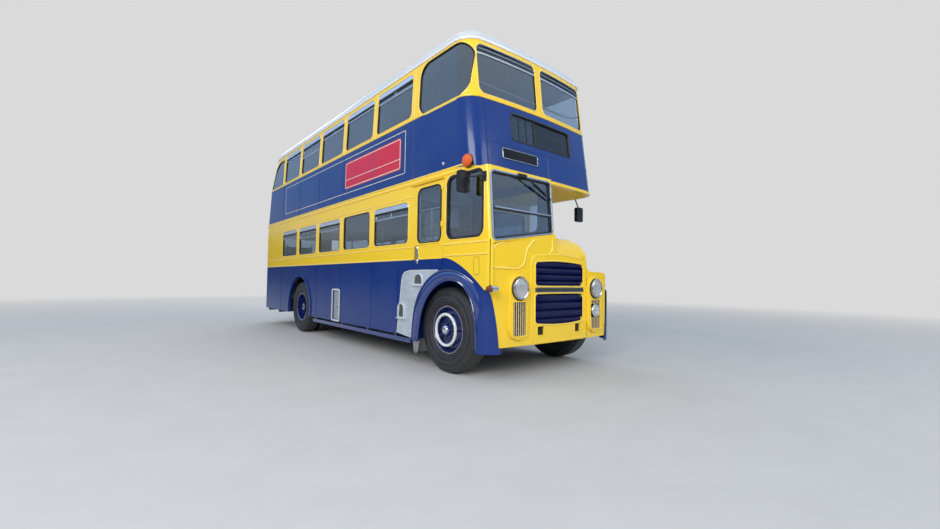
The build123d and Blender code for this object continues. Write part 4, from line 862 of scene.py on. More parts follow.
def ground():
    """Pale studio floor that fades into the backdrop far from the bus."""
    s = Surface("studio_floor")
    patch = s.remap(s.noise(2.2, 4.0, 0.55), 0.3, 0.7)
    s.set(color=s.mix(patch, (0.60, 0.585, 0.56), (0.63, 0.615, 0.59)), roughness=0.85, specular=0.1)
    s.bump(s.noise(80.0, 3.0), 0.06, 0.002)
    x, y, z = s.xyz()
    reach = s.math("SQRT", x * x + y * y)
    glow = s.node("ShaderNodeEmission", {0: BACKDROP})
    path = s.node("ShaderNodeLightPath")
    fade = s.remap(reach, 7.0, 22.0) * path.outputs["Is Camera Ray"]
    both = s.node("ShaderNodeMixShader", {0: fade, 1: s.bsdf.outputs[0], 2: glow.outputs[0]})
    s.put(s.out.inputs[0], both.outputs[0])
    return s.material


BRUSHED = (1, 8, 8)
PAINT = body_paint()
CAB_PAINT = cab_paint()
YELLOW_PAINT = plain_paint("yellow_paint", YELLOW)
# Paler yellow than the body for beads, pans and raised lines: a painted highlight along them
BEAD_HIGHLIGHT_PAINT = plain_paint("bead_highlight_paint", (1.0, 0.69, 0.085), 0.5, 0.4)
BLUE_PAINT = plain_paint("blue_paint", BLUE)
WING_PAINT = plain_paint("wing_paint", BLUE, 1.0, 0.6)
NAVY_PAINT = plain_paint("navy_paint", NAVY, 0.05, 0.10)
CREAM_LINE = plain_paint("cream_line", (0.82, 0.76, 0.55), 0.4)
RED_PAINT = plain_paint("red_paint", (0.60, 0.016, 0.045), 0.15, 0.2)
BLACK_PAINT = plain_paint("black_paint", (0.006, 0.007, 0.008), 0.05, 0.12)
ROOF_PAINT = roof_paint()
ROOF_EDGE = plain_paint("roof_edge", (0.84, 0.85, 0.85), 0.3)
GRILLE_PAINT = grille_paint()
SEAL = rubber("window_rubber")
ALLOY = metal("polished_alloy", (0.76, 0.77, 0.79), 0.24, BRUSHED)
CHROME = metal("chrome_plate", (0.82, 0.83, 0.85), 0.07, None, 0.04)
HOOD = metal("vent_hood", (0.90, 0.92, 0.95), 0.20, BRUSHED, 0.08, 0.85)
BRASS = metal("lacquered_brass", (0.95, 0.74, 0.40), 0.24, (6, 6, 1), 0.10)
SHEET = step_metal()
SHEET_EDGE = plain_paint("sheet_edge", (0.58, 0.64, 0.68), 0.3, 0.5)
VISOR = metal("dark_visor", (0.045, 0.045, 0.050), 0.35, BRUSHED, 0.08, 0.5)
SCREEN_ALLOY = metal("screen_alloy", (0.33, 0.40, 0.48), 0.42, BRUSHED, 0.08)
DOOR_ALLOY = metal("door_alloy", (0.42, 0.46, 0.52), 0.45, BRUSHED, 0.08)
GLASS = window_glass()
LAMP_GLASS = ribbed_lens("lamp_glass", (0.95, 0.98, 1.0), 200.0, 0.03, 0, 0.70)
AMBER = ribbed_lens("amber_lens", (0.88, 0.14, 0.004), 520.0, 0.08, 2, 0.10)
DULL_AMBER = ribbed_lens("side_lamp_lens", (0.16, 0.030, 0.008), 520.0, 0.12, 2, 0.1)
RED_LENS = ribbed_lens("red_lens", (0.65, 0.02, 0.02), 520.0, 0.12, 2)
REFLECTOR = metal("reflector", (0.66, 0.70, 0.74), 0.12, None, 0.02)
LAMP_RIM = metal("lamp_rim", (0.46, 0.47, 0.49), 0.16, None, 0.04)
MIRROR = metal("mirror_silver", (0.90, 0.91, 0.92), 0.03, None, 0.01)
MOQUETTE = moquette()
VINYL = vinyl()
FLOOR_COVER = floor_cover()
CANOPY = canopy_floor()
LAMINATE = laminate()
CHASSIS = black_steel("chassis_paint")
CAST = black_steel("engine_paint", (0.10, 0.12, 0.125), 0.5)
SPRING = black_steel("spring_steel", (0.03, 0.027, 0.025), 0.55)
FRAME_STEEL = black_steel("seat_frame_paint", (0.16, 0.17, 0.17), 0.35)
NUT_PAINT = black_steel("wheel_nuts", (0.025, 0.030, 0.085), 0.35)
EXHAUST = metal("exhaust_metal", (0.30, 0.23, 0.17), 0.55, None, 0.4)
ENAMEL = plain_paint("black_enamel", (0.012, 0.014, 0.018), 0.08, 0.18)
WHITE_PAINT = plain_paint("white_paint", (0.74, 0.75, 0.74), 0.6)
IVORY = plain_paint("ivory_rail", (0.72, 0.68, 0.55), 0.7)
BLANK_BADGE = plain_paint("blank_badge", (0.03, 0.035, 0.03), 0.8)
FILLER_GREY = plain_paint("filler_grey", (0.30, 0.33, 0.36), 0.3)
FLEX = rubber("mud_flap", (0.22, 0.23, 0.24), 0.6)
# Dark grey inside the toe holes: painted shade in the recesses
TOE_HOLE_SHADE_GREY = rubber("toe_hole_painted_shade", (0.075, 0.082, 0.085), 0.7)
# Near black for seams, and painted shade on plates set behind slots and holes
SEAM_AND_SHADE_BLACK = rubber("seam_black_and_painted_shade", (0.006, 0.006, 0.007), 0.7)
NUMBER_BLIND = blind("number_blind", (0.022, 0.036, 0.062), (0.05, 0.07, 0.10))
DARK_BLIND = blind("dark_blind", (0.006, 0.007, 0.008), (0.02, 0.022, 0.025))


def dress(node, material):
    """Give a CAD node its finished material."""
    obj = NODES[node]
    if not obj.material_slots:
        obj.data.materials.append(material)
    for place in obj.material_slots:
        place.material = material


# What the pieces of the part are finished in
for material, names in (
    (PAINT, "upper_front upper_rear upper_side_offside upper_side_nearside"),
    (PAINT, "lower_side_offside lower_side_nearside lower_rear_panel emergency_door"),
    (ROOF_PAINT, "roof"),
    (CAB_PAINT, "cab_shell cab_door"),
    (YELLOW_PAINT, "front_panel bonnet_lid"),
    (GRILLE_PAINT, "grilles"),
    (BLUE_PAINT, "front_wings"),
    (SHEET, "step_panel"),
    (WING_PAINT, "lifeguard_rails"),
    (CANOPY, "upper_floor"),
    (FLOOR_COVER, "lower_floor staircase"),
    (LAMINATE, "bulkheads"),
    (IVORY, "handrails"),
    (GLASS, "glazing"),
    (ENAMEL, "mirrors steering_wheel"),
    (FRAME_STEEL, "seat_frames"),
    (CHASSIS, "chassis_frame propshaft rear_axle front_axle fuel_tank"),
    (CHASSIS, "knuckle_offside knuckle_nearside"),
    (CAST, "engine_and_gearbox"),
    (SPRING, "leaf_springs track_rod"),
    (EXHAUST, "exhaust"),
):
    for name in names.split():
        dress(name, material)
for side, word in SIDE_WORDS:
    dress("tyre_front_" + word, tyre_rubber("tyre_front_" + word, side * 1.02, 0))
    dress("tyres_rear_" + word, tyre_rubber("tyre_rear_" + word, side * 1.05, REAR_AXLE))
    dress("rim_front_" + word, wheel_paint("wheel_front_" + word, 0))
    dress("rims_rear_" + word, wheel_paint("wheel_rear_" + word, REAR_AXLE))


# Windows


def window_paths():
    """Kind, side, bay, outline and surface of every window of the saloons."""
    found = []
    for side in SIDES:
        for n in range(BAYS):
            start = FIRST_BAY + n * BAY_PITCH
            upper = round_rect(start + 0.065, start + BAY_PITCH - 0.065, *UPPER_Z, 0.07)
            lower = round_rect(start + 0.085, start + BAY_PITCH - 0.065, *LOWER_Z, 0.07)
            found.append(("upper", side, n, upper, body_side(side)))
            found.append(("lower", side, n, lower, flat_side(side)))
        quarter = round_rect(-0.37, 0.59, 3.345, 4.06, 0.19, 10)
        found.append(("quarter", side, 0, quarter, body_side(side)))
        found.append(("tail", side, 0, tail_outline(), body_side(side)))
    for n, (x0, x1) in enumerate(((-1.05, -0.03), (0.06, 1.05))):
        found.append(("front", 0, n, round_rect(x0, x1, 3.39, 4.05, 0.09, 8), front_point))
    return found


def arc_points(a, via, b, n=14):
    """Points of the arc from a to b by way of via, without the last."""
    (ax, ay), (mx, my), (bx, by) = a, via, b
    d = 2 * (ax * (my - by) + mx * (by - ay) + bx * (ay - my))
    aa, mm, bb = (x * x + y * y for x, y in (a, via, b))
    ux = (aa * (my - by) + mm * (by - ay) + bb * (ay - my)) / d
    uy = (aa * (bx - mx) + mm * (ax - bx) + bb * (mx - ax)) / d
    start = math.atan2(ay - uy, ax - ux)
    mid = (math.atan2(my - uy, mx - ux) - start) % (2 * math.pi)
    end = (math.atan2(by - uy, bx - ux) - start) % (2 * math.pi)
    if mid > end:
        end -= 2 * math.pi
    r = math.hypot(ax - ux, ay - uy)
    turns = (start + end * i / n for i in range(n))
    return [(ux + r * math.cos(t), uy + r * math.sin(t)) for t in turns]


def eased(corners, radius, n=5):
    """Round the corners of a closed outline of points."""
    out = []
    total = len(corners)
    for i in range(total):
        a, b, c = Vector(corners[i - 1]), Vector(corners[i]), Vector(corners[(i + 1) % total])
        u, v = (a - b), (c - b)
        cut = min(radius, u.length * 0.45, v.length * 0.45)
        angle = u.angle(v)
        if angle > math.radians(160):
            out.append(tuple(b))
            continue
        p, q = b + u.normalized() * cut, b + v.normalized() * cut
        for k in range(n + 1):
            t = k / n
            out.append(tuple((1 - t) ** 2 * p + 2 * t * (1 - t) * b + t * t * q))
    return out


def tail_outline():
    """The rear quarter window, with its rear edge falling in an arc."""
    arc = arc_points((7.21, 3.39), (7.06, 3.76), (6.64, 4.0))
    corners = [(6.315, 4.0), (6.315, 3.39), *arc, (6.64, 4.0)]
    return fill_long(eased(corners, 0.055), 0.08)


SEAL_PROFILE = [(-0.004, -0.022), (-0.004, -0.003), (-0.001, 0.0005), (0.004, 0.0), (0.005, -0.022)]
PAN_PROFILE = [(-0.003, -0.016), (-0.003, 0.002), (0.001, 0.0055), (0.007, 0.0065), (0.013, 0.004),
               (0.016, -0.002)]


def window_seals():
    """Rubber, and a yellow pan painted paler as a highlight, round every window of the saloons."""
    piece = Piece("window_seals")
    pans = Piece("window_pans")
    for kind, side, n, outline, surface in window_paths():
        follow(piece, surface, grown(outline, -0.005), SEAL_PROFILE, SEAL, True)
        follow(pans, surface, grown(outline, 0.002), PAN_PROFILE, BEAD_HIGHLIGHT_PAINT, True)
    piece.make("bus")
    pans.make("bus")


# How far the bar of each opening light sits below the window's top, bay by bay
VENT_DROP = {
    "lower": (0.17, None, 0.17, 0.22, 0.17),
    "upper": (0.16, 0.125, 0.15, 0.28, 0.13),
    "front": (0.13, 0.13),
}


def slider_rails():
    """Alloy frames of the opening lights at the tops of the windows."""
    piece = Piece("window_vents")
    deep = chamfered_bar(0.011, -0.030, -0.003, 0.003, 0.003)
    thin = square_bar(0.006, -0.028, -0.008)
    for kind, side, n, outline, surface in window_paths():
        drop = VENT_DROP.get(kind, (None,))[n]
        if drop is None:
            continue
        a0, a1 = min(p[0] for p in outline), max(p[0] for p in outline)
        z1 = max(p[1] for p in outline)
        bar = z1 - drop
        front = kind == "front"
        if not front:
            rounds = (0.01, 0.055, 0.055, 0.01)
            hood = round_rect(a0 + 0.010, a1 - 0.010, z1 - 0.072, z1 - 0.006, rounds, 5)
            plate(piece, surface, hood, -0.008, 0.004, HOOD, 0.002)
            # A black strip under the hood: painted shade in the gap below the opening light
            shade = [(a0 + 0.008, z1 - 0.086), (a1 - 0.008, z1 - 0.086)]
            strip(piece, surface, shade, square_bar(0.012, -0.020, -0.006), SEAL)
        strip(piece, surface, [(a0 + 0.008, bar), (a1 - 0.008, bar)], deep, ALLOY)
        if not front:
            middle = (a0 + a1) / 2
            for a in (middle - 0.012, middle + 0.012):
                follow(piece, surface, [(a, bar), (a, z1 - 0.008)], thin, ALLOY)
        else:
            rounds = (0.006, 0.055, 0.055, 0.006)
            visor = round_rect(a0 + 0.010, a1 - 0.010, z1 - 0.066, z1 - 0.005, rounds, 5)
            plate(piece, surface, visor, -0.016, -0.005, VISOR, 0.002)
            lower = round_rect(a0 + 0.010, a1 - 0.010, z1 - 0.122, z1 - 0.084, 0.006, 3)
            plate(piece, surface, lower, -0.018, -0.008, VISOR, 0.002)
            for z in (z1 - 0.018, z1 - 0.075):
                ends = [(a0 + 0.030, z), (a1 - 0.030, z)]
                strip(piece, surface, ends, square_bar(0.005, -0.012, 0.001), SCREEN_ALLOY)
        top = 0.08 if front else 0.06
        rim = round_rect(a0 + 0.012, a1 - 0.012, bar + 0.006, z1 - 0.010, (0.02, top, top, 0.02), 4)
        follow(piece, surface, rim, thin, ALLOY, True)
    piece.make("bus")


def cab_side_window():
    """Outline of the fixed window in the cab's side."""
    return round_rect(-0.72, -0.075, 1.64, 2.40, 0.10, 8)


def other_glass():
    """Seals of the cab, bulkheads and rear, and the emergency door's seal and glass."""
    seals = Piece("cab_seals")
    wide = [(-0.020, -0.012), (-0.020, 0.004), (-0.005, 0.007), (0.006, 0.006), (0.008, -0.004)]
    follow(seals, flat_side(-1), cab_side_window(), wide, SEAL, True)
    for surface, outline in (
        (flat_side(1, -0.07), round_rect(-0.56, 0.42, 1.79, 2.33, 0.07)),
        (flat_front(BULKHEAD, -1), round_rect(-1.08, -0.16, 1.50, 2.25, 0.06)),
        (flat_front(BULKHEAD, -1), round_rect(0.06, 1.08, 1.75, 2.25, 0.06)),
        (flat_front(6.31, 1), round_rect(0.43, 1.08, *LOWER_Z, 0.06)),
        (flat_front(REAR, 1), round_rect(-0.95, 0.15, 1.64, 2.20, 0.06)),
    ):
        follow(seals, surface, outline, SEAL_PROFILE, SEAL, True)
    seals.make("bus")
    door_seal = Piece("emergency_door_seal")
    outline = round_rect(-0.37, 0.37, 3.39, 3.92, 0.06)
    follow(door_seal, rear_point, outline, SEAL_PROFILE, SEAL, True)
    door_seal.make("emergency_door")
    pane("emergency_door_glass", "emergency_door", rear_point, outline)


def windscreen_outline(amount):
    """The windscreen opening: its lower edge climbs towards the bonnet."""
    corners = [(-0.137, 1.748), (-0.137, 2.382), (-1.172, 2.368), (-1.172, 1.590)]
    base = fill_long(eased(corners, 0.058, 7), 0.08)
    return grown(base, amount)


def windscreen_trim():
    """Alloy surround, dividing bar and wiper of the windscreen."""
    piece = Piece("windscreen_frame")
    frame_profile = [(-0.013, -0.022), (-0.013, 0.004), (-0.010, 0.010), (0.006, 0.010), (0.010, 0.003),
                     (0.010, -0.010)]
    follow(piece, cab_front_point, windscreen_outline(0.003), frame_profile, SCREEN_ALLOY, True)
    rubber_profile = [(-0.006, -0.024), (-0.006, 0.002), (0.004, 0.005), (0.006, -0.024)]
    follow(piece, cab_front_point, windscreen_outline(-0.015), rubber_profile, SEAL, True)
    ring = windscreen_outline(0.004)
    for i in range(0, len(ring), 2):
        spot = cab_front_point(*ring[i], 0.009)
        lathe(piece, spot, FORWARD, [(0, 0.0), (0, 0.004), (0.0015, 0.0035), (0.0022, 0.0)], SEAL, 8)
    bar = chamfered_bar(0.010, -0.024, 0.009, 0.004, 0.005)
    strip(piece, cab_front_point, [(-1.135, 1.962), (-0.146, 1.962)], bar, SCREEN_ALLOY)
    lip = square_bar(0.004, -0.024, 0.003)
    strip(piece, cab_front_point, [(-1.135, 1.947), (-0.146, 1.947)], lip, SEAL)
    piece.make("bus")
    wiper = Piece("windscreen_wiper")
    pivot = cab_front_point(-0.66, 2.375, 0.022)
    low, high = cab_front_point(-0.74, 2.36, 0.035), cab_front_point(-0.60, 2.40, -0.004)
    block(wiper, low, high, ENAMEL, 0.006)
    boss = [(0, 0.0), (0, 0.016), (0.022, 0.016), (0.028, 0.010), (0.028, 0.0)]
    lathe(wiper, pivot + Vector((0, 0.01, 0)), FORWARD, boss, ENAMEL, 20)
    tip = cab_front_point(-0.28, 2.215, 0.030)
    elbow = (pivot + tip) / 2 + Vector((0, -0.014, 0.004))
    tube(wiper, [pivot + Vector((0, -0.012, 0)), elbow, tip], 0.009, ENAMEL)
    blade = [cab_front_point(x, z, 0.016) for x, z in ((-0.47, 2.295), (-0.30, 2.222), (-0.165, 2.165))]
    tube(wiper, blade, 0.011, ENAMEL, 8)
    wiper.make("bus")


def door_trim():
    """Window, seal, handle and beads of the cab door."""
    surface = flat_side(-1)
    outline = round_rect(0.045, 0.545, 1.625, 2.345, 0.09, 8)
    piece = Piece("cab_door_frame")
    profile = [(-0.013, -0.020), (-0.013, 0.002), (-0.010, 0.007), (0.010, 0.007), (0.012, 0.002),
               (0.012, -0.020)]
    follow(piece, surface, outline, profile, SEAL, True)
    inner = grown(outline, -0.020)
    rail = square_bar(0.007, -0.030, -0.006)
    follow(piece, surface, inner, rail, DOOR_ALLOY, True)
    follow(piece, surface, [(0.262, 1.640), (0.262, 2.050)], rail, DOOR_ALLOY)
    follow(piece, surface, [(0.060, 2.056), (0.530, 2.056)], rail, DOOR_ALLOY)
    ledge = chamfered_bar(0.010, -0.004, 0.010, 0.004, 0.004)
    follow(piece, surface, [(0.055, 1.612), (0.535, 1.612)], ledge, YELLOW_PAINT)
    for z in (SILL_BEAD, WAIST):
        strip(piece, surface, [(0.012, z), (0.627, z)], half_round(0.014, 0.006), YELLOW_PAINT)
    plate(piece, surface, round_rect(0.53, 0.572, 1.355, 1.60, 0.01, 3), 0.0, 0.003, ALLOY, 0.001)
    piece.make("cab_door")
    pane("cab_door_glass", "cab_door", surface, outline)
    handle = Piece("cab_door_handle")
    bar = [surface(0.55, z, 0.032) for z in (1.375, 1.40, 1.48, 1.56, 1.585)]
    tube(handle, bar, 0.0105, CHROME, 14)
    foot = [(0, 0.0), (0, 0.014), (0.004, 0.014), (0.010, 0.008), (0.034, 0.008), (0.034, 0.0)]
    for z in (1.396, 1.566):
        lathe(handle, surface(0.55, z), OFFSIDE, foot, CHROME, 16)
    handle.make("cab_door")


# Body trim


def side_mouldings():
    """Beads and panel straps along the sides."""
    piece = Piece("side_mouldings")
    bead = half_round(0.022, 0.011)
    fine = half_round(0.018, 0.009)
    strap = flat_bar(0.022, 0.0035, 0.002, 0.001)
    pillar = flat_bar(0.030, 0.003)
    posts = [FIRST_BAY + n * BAY_PITCH for n in range(BAYS + 1)]
    for side in SIDES:
        surface, panels = body_side(side), flat_side(side)
        ends = (0.645, 7.365) if side < 0 else (0.705, LAST_BAY + 0.01)
        # Beads and pillars take the paler yellow: a painted highlight along them
        for z, profile in ((WAIST, bead), (SILL_BEAD, fine), (HEAD_BEAD, fine)):
            strip(piece, panels, [(s, z) for s in ends], profile, BEAD_HIGHLIGHT_PAINT, 0.3)
        for z, profile in ((BLUE_FOOT, bead), (SILL, bead), (2.455, fine)):
            run = level_run(z)
            if side < 0 and z < SILL:
                run = [(-0.44, z)] + [point for point in run if point[0] > -0.40]
            follow(piece, surface, run, profile, BEAD_HIGHLIGHT_PAINT)
        for n, s in enumerate(posts):
            # the step panel covers the offside's first post
            if side > 0 or n > 0:
                low = 1.24 if n == OVER_REAR_ARCH else 0.385
                strip(piece, panels, [(s + 0.004, low), (s + 0.004, WAIST - 0.01)], strap, BLUE_PAINT, 0.2)
        for s in posts:
            strip(piece, surface, [(s, 2.52), (s, SILL - 0.012)], strap, BLUE_PAINT, 0.15)
            strip(piece, surface, [(s, SILL + 0.012), (s, GUTTER - 0.03)], pillar, BEAD_HIGHLIGHT_PAINT, 0.15)
        for s in posts[1:-1]:
            strip(piece, panels, [(s + 0.01, 1.59), (s + 0.01, 2.255)], pillar, BEAD_HIGHLIGHT_PAINT, 0.2)
    piece.make("bus")


def level_run(z):
    """Path along a side at one height, closely spaced round the corners."""
    half, front, rear, r_front, r_rear = skin(z)
    turn, back = front + BOW + r_front, rear - r_rear
    turns = [math.radians(50 * i / 8) for i in range(9)]
    path = [(turn - r_front * math.sin(a), z) for a in reversed(turns)]
    s = turn + 0.3
    while s < back:
        path.append((s, z))
        s += 0.4
    return path + [(back + r_rear * math.sin(a), z) for a in turns]


def perimeter(z):
    """Closed ring of points and outward normals round the body at a height."""
    half, front, rear, r_front, r_rear = skin(z)
    flat, wide = half - r_front, half - r_rear
    turn, back = front + BOW + r_front, rear - r_rear
    nearside = []
    for a in (math.radians(90 * i / 11) for i in range(1, 11)):
        across, along = math.sin(a), -math.cos(a)
        nearside.append((flat + r_front * across, turn + r_front * along, across, along))
    nearside += [(half, blend(turn, back, i / 24), 1, 0) for i in range(25)]
    for a in (math.radians(90 * i / 15) for i in range(1, 15)):
        across, along = math.cos(a), math.sin(a)
        nearside.append((wide + r_rear * across, back + r_rear * along, across, along))
    ring = [(flat * t, front + BOW * t ** 2, 0, -1) for t in (i / 6 - 1 for i in range(13))]
    ring += nearside
    ring += [(wide * (1 - i / 3), rear, 0, 1) for i in range(7)]
    ring += [(-x, s, -across, along) for x, s, across, along in reversed(nearside)]
    points = [Vector((x, row_y(s), z)) for x, s, across, along in ring]
    return points, [Vector((across, along, 0)) for x, s, across, along in ring]


def front_rail():
    """White rail behind the upper deck's front windows."""
    piece = Piece("upper_front_rail")
    end = ((1.045, -0.372, 3.645), (0.985, -0.285, 3.642), (0.860, -0.255, 3.641), (0.3, -0.250, 3.641))
    path = [(-x, row_y(s), z) for x, s, z in end] + [(x, row_y(s), z) for x, s, z in reversed(end)]
    tube(piece, smooth_path(path, 6), 0.0125, WHITE_PAINT, 12)
    tube(piece, [(-0.005, row_y(-0.245), 3.643), (-0.005, row_y(-0.330), 3.655)], 0.009, WHITE_PAINT, 8)
    piece.make("bus")


def gutter():
    """Rain gutter, and the beads that run right round the walls below it."""
    piece = Piece("gutter")
    channel = [(-0.012, -0.010), (0.014, -0.010), (0.014, 0.004), (0.018, 0.016), (0.014, 0.022),
               (-0.006, 0.018), (-0.012, 0.008)]
    sweep(piece, *perimeter(4.095), channel, ROOF_EDGE)
    sweep(piece, *perimeter(SILL), half_round(0.020, 0.009), YELLOW_PAINT)
    points, normals = perimeter(2.507)
    for point in points:
        point.z -= NOSE_DIP * min(max((row_y(-0.10) - point.y) / 0.20, 0), 1)
    sweep(piece, points, normals, half_round(0.018, 0.008), YELLOW_PAINT)
    sweep(piece, *perimeter(2.445), half_round(0.030, 0.012), YELLOW_PAINT)
    points, normals = perimeter(2.81)
    sweep(piece, points[:23], normals[:23], half_round(0.012, 0.005), BLUE_PAINT, False)
    piece.make("bus")


def advert():
    """Blank advertisement panel on the offside: a thin frame and a red plate."""
    piece = Piece("side_panels_blank")
    surface = body_side(-1)
    frame_line = round_rect(0.90, 6.06, 2.64, 3.25, 0.02, 3)
    follow(piece, surface, frame_line, flat_bar(0.010, 0.002, 0.002, 0.0006), CREAM_LINE, True)
    red = round_rect(1.01, 2.84, 2.71, 3.18, 0.05, 6)
    plate(piece, surface, red, -0.001, 0.0025, RED_PAINT, 0.0008)
    follow(piece, surface, grown(red, -0.022), flat_bar(0.012, 0.0038, -0.001, 0.0006), CREAM_LINE, True)
    middle = [(1.035, 2.868), (2.815, 2.868)]
    strip(piece, surface, middle, flat_bar(0.010, 0.0038, -0.001, 0.0006), CREAM_LINE)
    piece.make("bus")


def front_signs():
    """Destination box with its blinds, and the blank plates."""
    piece = Piece("destination_box")
    outline = round_rect(-0.563, 0.640, 2.90, 3.25, 0.05, 6)
    rim = [(-0.012, -0.020), (-0.012, 0.004), (-0.008, 0.008), (0.006, 0.008), (0.010, 0.002),
           (0.010, -0.020)]
    follow(piece, front_point, outline, rim, SEAL, True)
    for x0, x1, material in ((-0.555, -0.150, NUMBER_BLIND), (-0.135, 0.632, DARK_BLIND)):
        plate(piece, front_point, round_rect(x0, x1, 2.908, 3.242, 0.04, 5), -0.024, -0.016, material)
    divider = [(-0.143, 2.905), (-0.143, 3.07), (-0.143, 3.245)]
    follow(piece, front_point, divider, square_bar(0.009, -0.020, 0.001), SEAL)
    for a in (-0.42, -0.285):
        follow(piece, front_point, [(a, 2.915), (a, 3.235)], square_bar(0.004, -0.018, -0.010), SEAL)
    piece.make("bus")
    blank = Piece("front_plate_blank")
    plate_line = round_rect(-0.760, -0.130, 2.622, 2.768, 0.02, 4)
    plate(blank, front_point, plate_line, -0.002, 0.005, BLACK_PAINT, 0.001)
    pale_rim = flat_bar(0.005, 0.0068, -0.004, 0.0008)
    follow(blank, front_point, grown(plate_line, -0.009), pale_rim, ALLOY, True)
    follow(blank, front_point, [(0.08, 2.52), (0.08, 2.80)], half_round(0.010, 0.004), BLUE_PAINT)
    for a in (-0.985, 0.985):
        strip(blank, front_point, [(a, 2.49), (a, 3.33)], flat_bar(0.005, 0.0008, 0.002, 0.0003), SEAM_AND_SHADE_BLACK)
    blank.make("bus")


# Front end


def nose_surface(x, z, out=0.0):
    """Point on the flat lower front of the bus."""
    return Vector((x, row_y(NOSE - out), z))


def bowed_nose(x, z, out=0.0):
    """Point on the moulded front, which bows back towards its edges."""
    half = 1.175 if x < 0 else 1.05
    bow = 0.030 * min(abs(x) / half, 1.02) ** 2
    return Vector((x, row_y(NOSE + bow - out), z))


def headlamps():
    """Chrome rims, rubber rings, reflectors and fluted lenses."""
    rims = Piece("chrome")
    lenses = Piece("headlamp_lenses")
    ring = [(0.030, 0.100), (0.030, 0.136), (0.042, 0.139), (0.050, 0.134), (0.052, 0.127), (0.044, 0.120),
            (0.044, 0.100)]
    rim = [(0.040, 0.105), (0.040, 0.125), (0.056, 0.128), (0.066, 0.124), (0.070, 0.116), (0.066, 0.107),
           (0.058, 0.105)]
    bowl = [(0.036, 0.0), (0.036, 0.104), (0.056, 0.104), (0.050, 0.080), (0.043, 0.040), (0.040, 0.0)]
    lens = [(0.057, 0.0), (0.057, 0.1075), (0.066, 0.1075), (0.074, 0.085), (0.079, 0.050), (0.081, 0.0)]
    for x in (-LAMP_X, LAMP_X):
        place = (x, row_y(-0.820), LAMP_Z)
        lathe(rims, place, FORWARD, ring, SEAL, 48)
        lathe(rims, place, FORWARD, rim, LAMP_RIM, 48)
        lathe(rims, place, FORWARD, bowl, REFLECTOR, 40)
        lathe(lenses, place, FORWARD, lens, LAMP_GLASS, 40)
        low, high = nose_surface(x - 0.012, 1.180, 0.072), nose_surface(x + 0.012, 1.196, 0.040)
        block(rims, low, high, CHROME, 0.004)
    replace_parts(rims.make("bus"), "lamps")
    lenses.make("bus")


def small_lamps():
    """Offside indicator, marker lamps, side lamp, fog lamp and rear lamps."""
    cases = Piece("small_lamps")
    lenses = Piece("small_lamp_lenses")
    base = Vector((-1.218, row_y(-0.46), 2.527))
    gasket = [(0, 0.0), (0, 0.080), (0.008, 0.080), (0.014, 0.075), (0.014, 0.0)]
    lathe(cases, base, OFFSIDE, gasket, SEAL, 40)
    dome = [(0.010, 0.0), (0.010, 0.073), (0.028, 0.076), (0.044, 0.069), (0.056, 0.048), (0.061, 0.022),
            (0.062, 0.0)]
    lathe(lenses, base, OFFSIDE, dome, AMBER, 40)
    lathe(cases, base, OFFSIDE, [(0.010, 0.0), (0.010, 0.040), (0.020, 0.034), (0.026, 0.0)], REFLECTOR, 24)
    marker = [(0, 0.0), (0, 0.022), (0.008, 0.022), (0.010, 0.0)]
    marker_lens = [(0.006, 0.0), (0.006, 0.017), (0.018, 0.015), (0.026, 0.0)]
    for side in SIDES:
        spot = Vector((side * 1.222, row_y(0.0), 2.585))
        lathe(cases, spot, (side, 0, 0), marker, CHROME, 24)
        lathe(lenses, spot, (side, 0, 0), marker_lens, LAMP_GLASS, 24)
    spot = Vector((-1.140, row_y(-0.885), LAMP_Z))
    bullet = [(0.0, 0.0), (0.004, 0.016), (0.016, 0.029), (0.036, 0.037), (0.104, 0.040), (0.112, 0.042),
              (0.120, 0.042), (0.122, 0.0)]
    tip = [(0.120, 0.0), (0.120, 0.037), (0.140, 0.035), (0.160, 0.028), (0.174, 0.015), (0.179, 0.0)]
    lathe(cases, spot, OFFSIDE, bullet, CHROME, 32)
    lathe(lenses, spot, OFFSIDE, tip, DULL_AMBER, 28)
    stalk = ((-0.024, 0, -0.004), (-0.002, 0.046, -0.008), (0.012, 0.082, -0.010))
    tube(cases, [spot + Vector(step) for step in stalk], 0.0125, CHROME, 12)
    fog = nose_surface(0.748, 0.764)
    case = [(-0.012, 0.0), (-0.010, 0.045), (0.006, 0.078), (0.014, 0.085), (0.036, 0.087), (0.044, 0.082),
            (0.044, 0.0)]
    lathe(cases, fog, FORWARD, case, CHROME, 40)
    glass = [(0.040, 0.0), (0.040, 0.078), (0.048, 0.072), (0.054, 0.040), (0.056, 0.0)]
    lathe(lenses, fog, FORWARD, glass, LAMP_GLASS, 36)
    tail_case = [(0, 0.0), (0, 0.050), (0.010, 0.050), (0.014, 0.044), (0.014, 0.0)]
    tail_lens = [(0.008, 0.0), (0.008, 0.042), (0.022, 0.038), (0.030, 0.022), (0.032, 0.0)]
    turn_case = [(0, 0.0), (0, 0.042), (0.010, 0.042), (0.012, 0.0)]
    turn_lens = [(0.008, 0.0), (0.008, 0.035), (0.020, 0.031), (0.026, 0.018), (0.028, 0.0)]
    for x in (-1.02, 0.49):
        y = rear_point(x, 0.98)[1] - 0.002
        for z, case, lens, tint in (
            (0.98, tail_case, tail_lens, RED_LENS),
            (1.13, turn_case, turn_lens, AMBER),
        ):
            lathe(cases, (x, y, z), BACKWARD, case, CHROME, 28)
            lathe(lenses, (x, y, z), BACKWARD, lens, tint, 28)
    cases.make("bus")
    lenses.make("bus")


def arch_path(corners, bows, radius, n=7):
    """Closed outline from corners, with edges bowed by a height and corners rounded."""
    points = []
    for i, (corner, bow) in enumerate(zip(corners, bows)):
        after = corners[(i + 1) % len(corners)]
        points.append(corner)
        if bow:
            for t in (k / 10 for k in range(1, 10)):
                rise = 4 * bow * t * (1 - t)
                points.append((blend(corner[0], after[0], t), blend(corner[1], after[1], t) + rise))
    return fill_long(eased(points, radius, n), 0.08)


def arcs(start, *stretches):
    """Chain of arcs from a start, each given by its middle, its end and its number of steps."""
    points = []
    for via, end, n in stretches:
        points += arc_points(start, via, end, n)
        start = end
    return points


